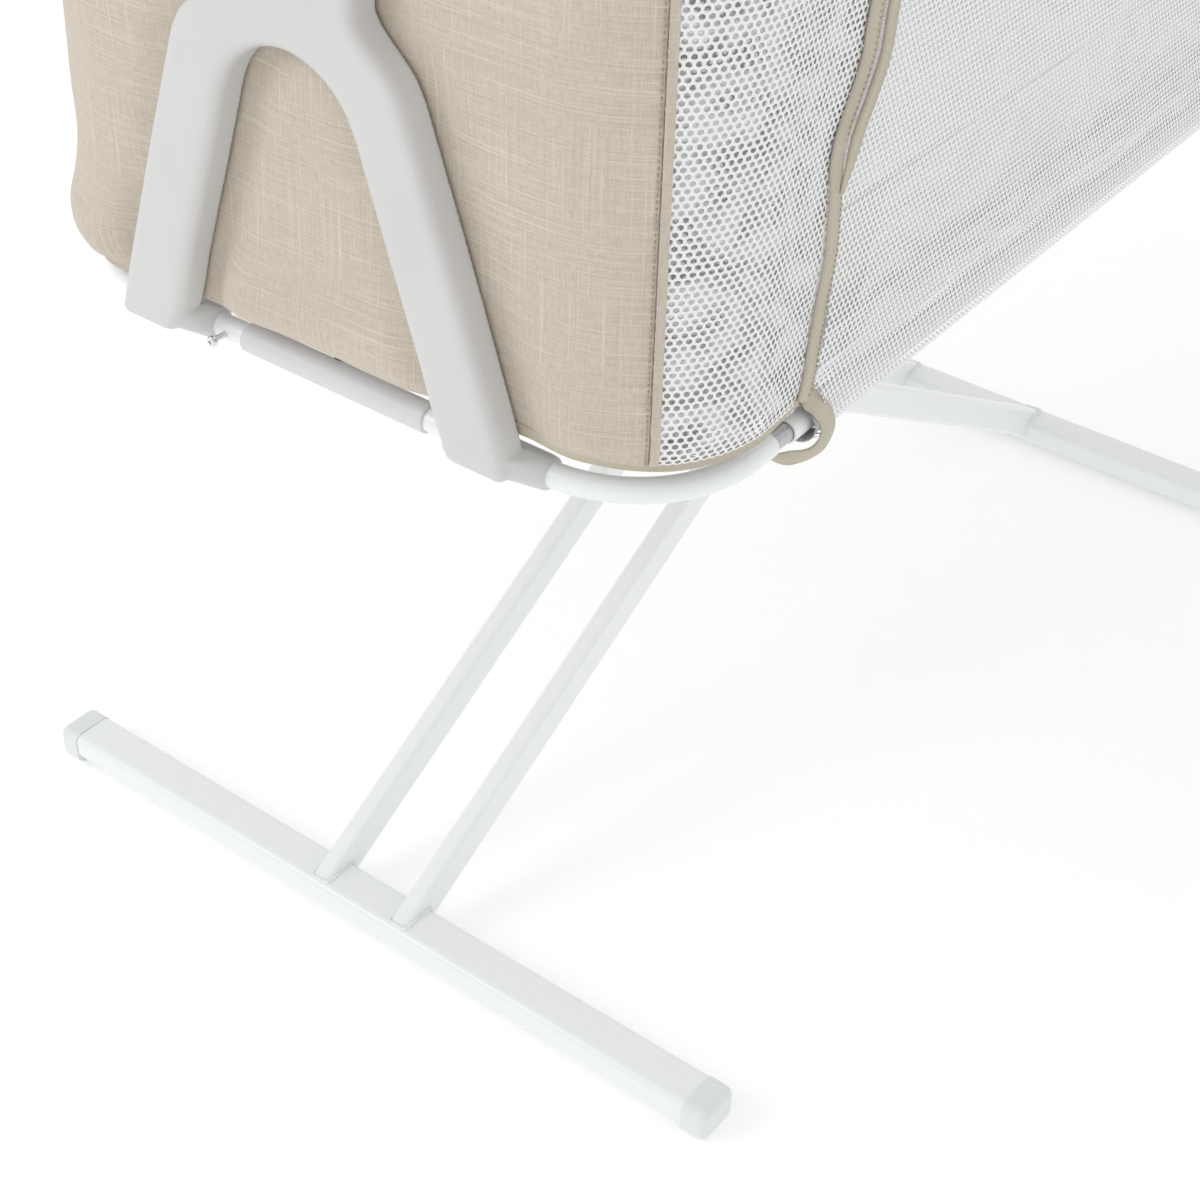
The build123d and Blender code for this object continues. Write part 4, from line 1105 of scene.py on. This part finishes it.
def cloth_sleeve(name, path, seed):
    """Cloth wrapped round a rail along a path, its edges a slit apart below."""
    angles = np.radians(np.linspace(-SLEEVE_TURN / 2, SLEEVE_TURN / 2, 34))
    path = np.asarray(path, float)
    forward = unit(np.gradient(path, axis=0))
    side = unit(np.cross(np.array([0.0, 0.0, 1.0]), forward))
    along = steps_along(path)[:, None]
    radius = SLEEVE_R + 0.25 * ripple(along, angles[None, :] * SLEEVE_R, 50, seed)
    points = (path[:, None] + (radius * np.sin(angles))[..., None] * side[:, None]
              + (radius * np.cos(angles))[..., None] * np.array([0.0, 0.0, 1.0]))
    return grid_object(name, points, along, angles[None, :] * SLEEVE_R), float(along[-1, 0])


def rail_covers():
    """The linen sleeves round the top rail, with their piping."""
    sleeves, pipes = [], []
    for end in ENDS.values():
        for start, stop in ((57.0, ARC_END + CORNER_X - SOCKET_OUTER_X - 2), (-57.0, -(ARC_END + CORNER_X))):
            s = np.linspace(start, stop, 150)
            sleeve, part = cloth_sleeve("sleeve", wall(s, RAIL_Z, 0.0, end), 81)
            sleeves.append(sleeve)
            pipe = wall(s, PIPING_Z, 13.2, end)
            pipes.append(sweep("pipe", pipe, wall_normal(s, end), round_section(PIPING_R, 10)))
    cover = thicken(join("rail_sleeves", sleeves), SLEEVE_THICK)
    piping = join("rail_piping", pipes)
    x = np.linspace(-FRONT_COVER_X, FRONT_COVER_X, 160)
    path = np.stack([x, np.full_like(x, -RING_Y), np.full_like(x, RAIL_Z)], 1)
    front, front_length = cloth_sleeve("front_rail_sleeve", path, 83)
    thicken(front, SLEEVE_THICK)
    path = np.stack([x, np.full_like(x, -RING_Y - 12.6), np.full_like(x, PIPING_Z)], 1)
    normals = np.tile((0.0, -1.0, 0.0), (len(x), 1))
    front_pipe = sweep("front_piping", path, normals, round_section(PIPING_R, 10))
    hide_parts("rail_cover")
    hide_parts("rail_cover_front")
    for piece, material, body in ((cover, "linen", "basket"), (piping, "binding", "basket"),
                                  (front, "linen", "drop_side"), (front_pipe, "binding", "drop_side")):
        dress(piece, material, body)


# ---------------------------------------------------------------- mattress
QUILT_PITCH = 66.0


def mattress_pad():
    """The quilted mattress: swollen by a cloth simulation, then sewn down along its quilting lines."""
    low, high = span("mattress")
    inset, rise = 5.0, 4.0
    mesh = bmesh.new()
    corner = CORNER_R - 13 - inset
    half_x, half_y = high[0] - inset, high[1] - inset
    outline = []
    for quarter in range(4):
        for step in np.linspace(0, 90, 9):
            angle = math.radians(quarter * 90 + step)
            cx = (half_x - corner) * (1 if quarter in (0, 3) else -1)
            cy = (half_y - corner) * (1 if quarter in (0, 1) else -1)
            outline.append((cx + corner * math.cos(angle), cy + corner * math.sin(angle)))
    bottom = [mesh.verts.new((x * MM, y * MM, (low[2] + rise / 4) * MM)) for x, y in outline]
    top = [mesh.verts.new((x * MM, y * MM, (high[2] - rise) * MM)) for x, y in outline]
    mesh.faces.new(bottom[::-1])
    mesh.faces.new(top)
    for k in range(len(outline)):
        beside = (k + 1) % len(outline)
        mesh.faces.new((bottom[k], bottom[beside], top[beside], top[k]))
    data = bpy.data.meshes.new("mattress_pad")
    mesh.to_mesh(data)
    mesh.free()
    pad = linked("mattress_pad", data)
    remesh = pad.modifiers.new("remesh", "REMESH")
    remesh.mode = "VOXEL"
    remesh.voxel_size = 7.0 * MM
    apply_modifiers(pad)
    start = vertex_places(pad)
    cloth = pad.modifiers.new("cloth", "CLOTH")
    cloth.settings.use_pressure = True
    cloth.settings.uniform_pressure_force = 4
    cloth.settings.effector_weights.gravity = 0
    for number in range(1, 21):
        bpy.context.scene.frame_set(number)
    apply_modifiers(pad)
    bpy.context.scene.frame_set(1)
    move = vertex_places(pad) - start
    length = np.maximum(np.linalg.norm(move, axis=1, keepdims=True), 1e-9)
    points = start + move / length * np.minimum(length, 5 * MM)
    points[:, 2] = np.clip(points[:, 2], low[2] * MM, high[2] * MM)
    on_top = ease((points[:, 2] / MM - (low[2] + 26)) / 10)
    x, y = points[:, 0] / MM, points[:, 1] / MM
    quilting = 0.0
    for line in ((x + y) / QUILT_PITCH, (x - y) / QUILT_PITCH):
        away = np.abs(line - np.round(line)) * QUILT_PITCH
        quilting = np.maximum(quilting, np.exp(-(away / 8.0) ** 2))
    points[:, 2] -= on_top * quilting * 3.2 * MM
    pad.data.vertices.foreach_set("co", points.ravel())
    subdivide = pad.modifiers.new("subdivide", "SUBSURF")
    subdivide.levels = subdivide.render_levels = 1
    apply_modifiers(pad)
    pad.data.shade_smooth()
    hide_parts("mattress")
    dress(pad, "mattress_cloth", "basket")


# ---------------------------------------------------------------- welds on the stand
def weld_beads(name, end, y_values, body):
    """The bead that joins each strut to its foot: over the foot's top, and down its inner side."""
    foot_low, foot_high = span("inner_foot_tube" if end < 0 else "outer_foot_tube")
    top = foot_high[2]
    inner_x = min(abs(foot_low[0]), abs(foot_high[0]))
    tip_x = inner_x + 30
    beads = []
    for y in y_values:
        half = 8.0
        loop = [(inner_x, y - half, top - 14), (inner_x, y - half, top - 5), (inner_x + 1.5, y - half, top),
                (inner_x + 14, y - half, top), (tip_x - 2, y - half, top), (tip_x, y - half + 2, top),
                (tip_x, y, top), (tip_x, y + half - 2, top), (tip_x - 2, y + half, top),
                (inner_x + 14, y + half, top), (inner_x + 1.5, y + half, top), (inner_x, y + half, top - 5),
                (inner_x, y + half, top - 14)]
        loop = np.array([(end * x, yy, z) for x, yy, z in loop])
        steps = steps_along(loop)
        fine = np.linspace(0, steps[-1], 90)
        path = np.stack([np.interp(fine, steps, loop[:, k]) for k in range(3)], 1)
        centre = np.array([end * (inner_x + 12), y, top - 8])
        normals = unit(path - centre)
        bead = sweep("bead", path, normals, round_section(1.0, 8))
        lumps = 1.7 + 0.45 * np.sin(fine * 2 * math.pi / 3.4) + 0.35 * np.sin(fine / 5.0 + y)
        narrow(bead, path, lumps)
        beads.append(bead)
    dress(join(name, beads), "painted_tube", body)


# ---------------------------------------------------------------- build it all
add_camera()
floor = new_object("floor", [(-9000, -9000, 0), (9000, -9000, 0), (9000, 9000, 0), (-9000, 9000, 0)],
                   [(0, 1, 2, 3)])
paint(floor, "studio_floor")
bpy.context.scene.view_settings.view_transform = "Standard"
world = bpy.data.worlds.new("studio")
world.use_nodes = True
world.node_tree.nodes["Background"].inputs["Color"].default_value = (1.0, 1.0, 1.0, 1)
world.node_tree.nodes["Background"].inputs["Strength"].default_value = 0.84
bpy.context.scene.world = world
add_area_light("key", (-2.4, 1.5, 2.0), (0, 0, 0.4), 1.2, 14)

for node, slot in NODE_SLOTS.items():
    paint(nodes[node], OWN_LOOK.get(node, slot))
for end_name, end in ENDS.items():
    bracket_body(end_name, end)
    end_cloth(end_name, end)
    corner_mesh(end_name, end)
back_cloth()
hem_binding()
front_side()
drop_side()
zip_flaps()
tunnel_mouths()
rail_covers()
mattress_pad()
INNER_STRUT_Y = middle("inner_strut_back")[1]
OUTER_STRUT_Y = middle("outer_strut_back")[1]
weld_beads("inner_welds", -1, (-INNER_STRUT_Y, INNER_STRUT_Y), "inner_legs")
weld_beads("outer_welds", 1, (-OUTER_STRUT_Y, OUTER_STRUT_Y), "outer_legs")
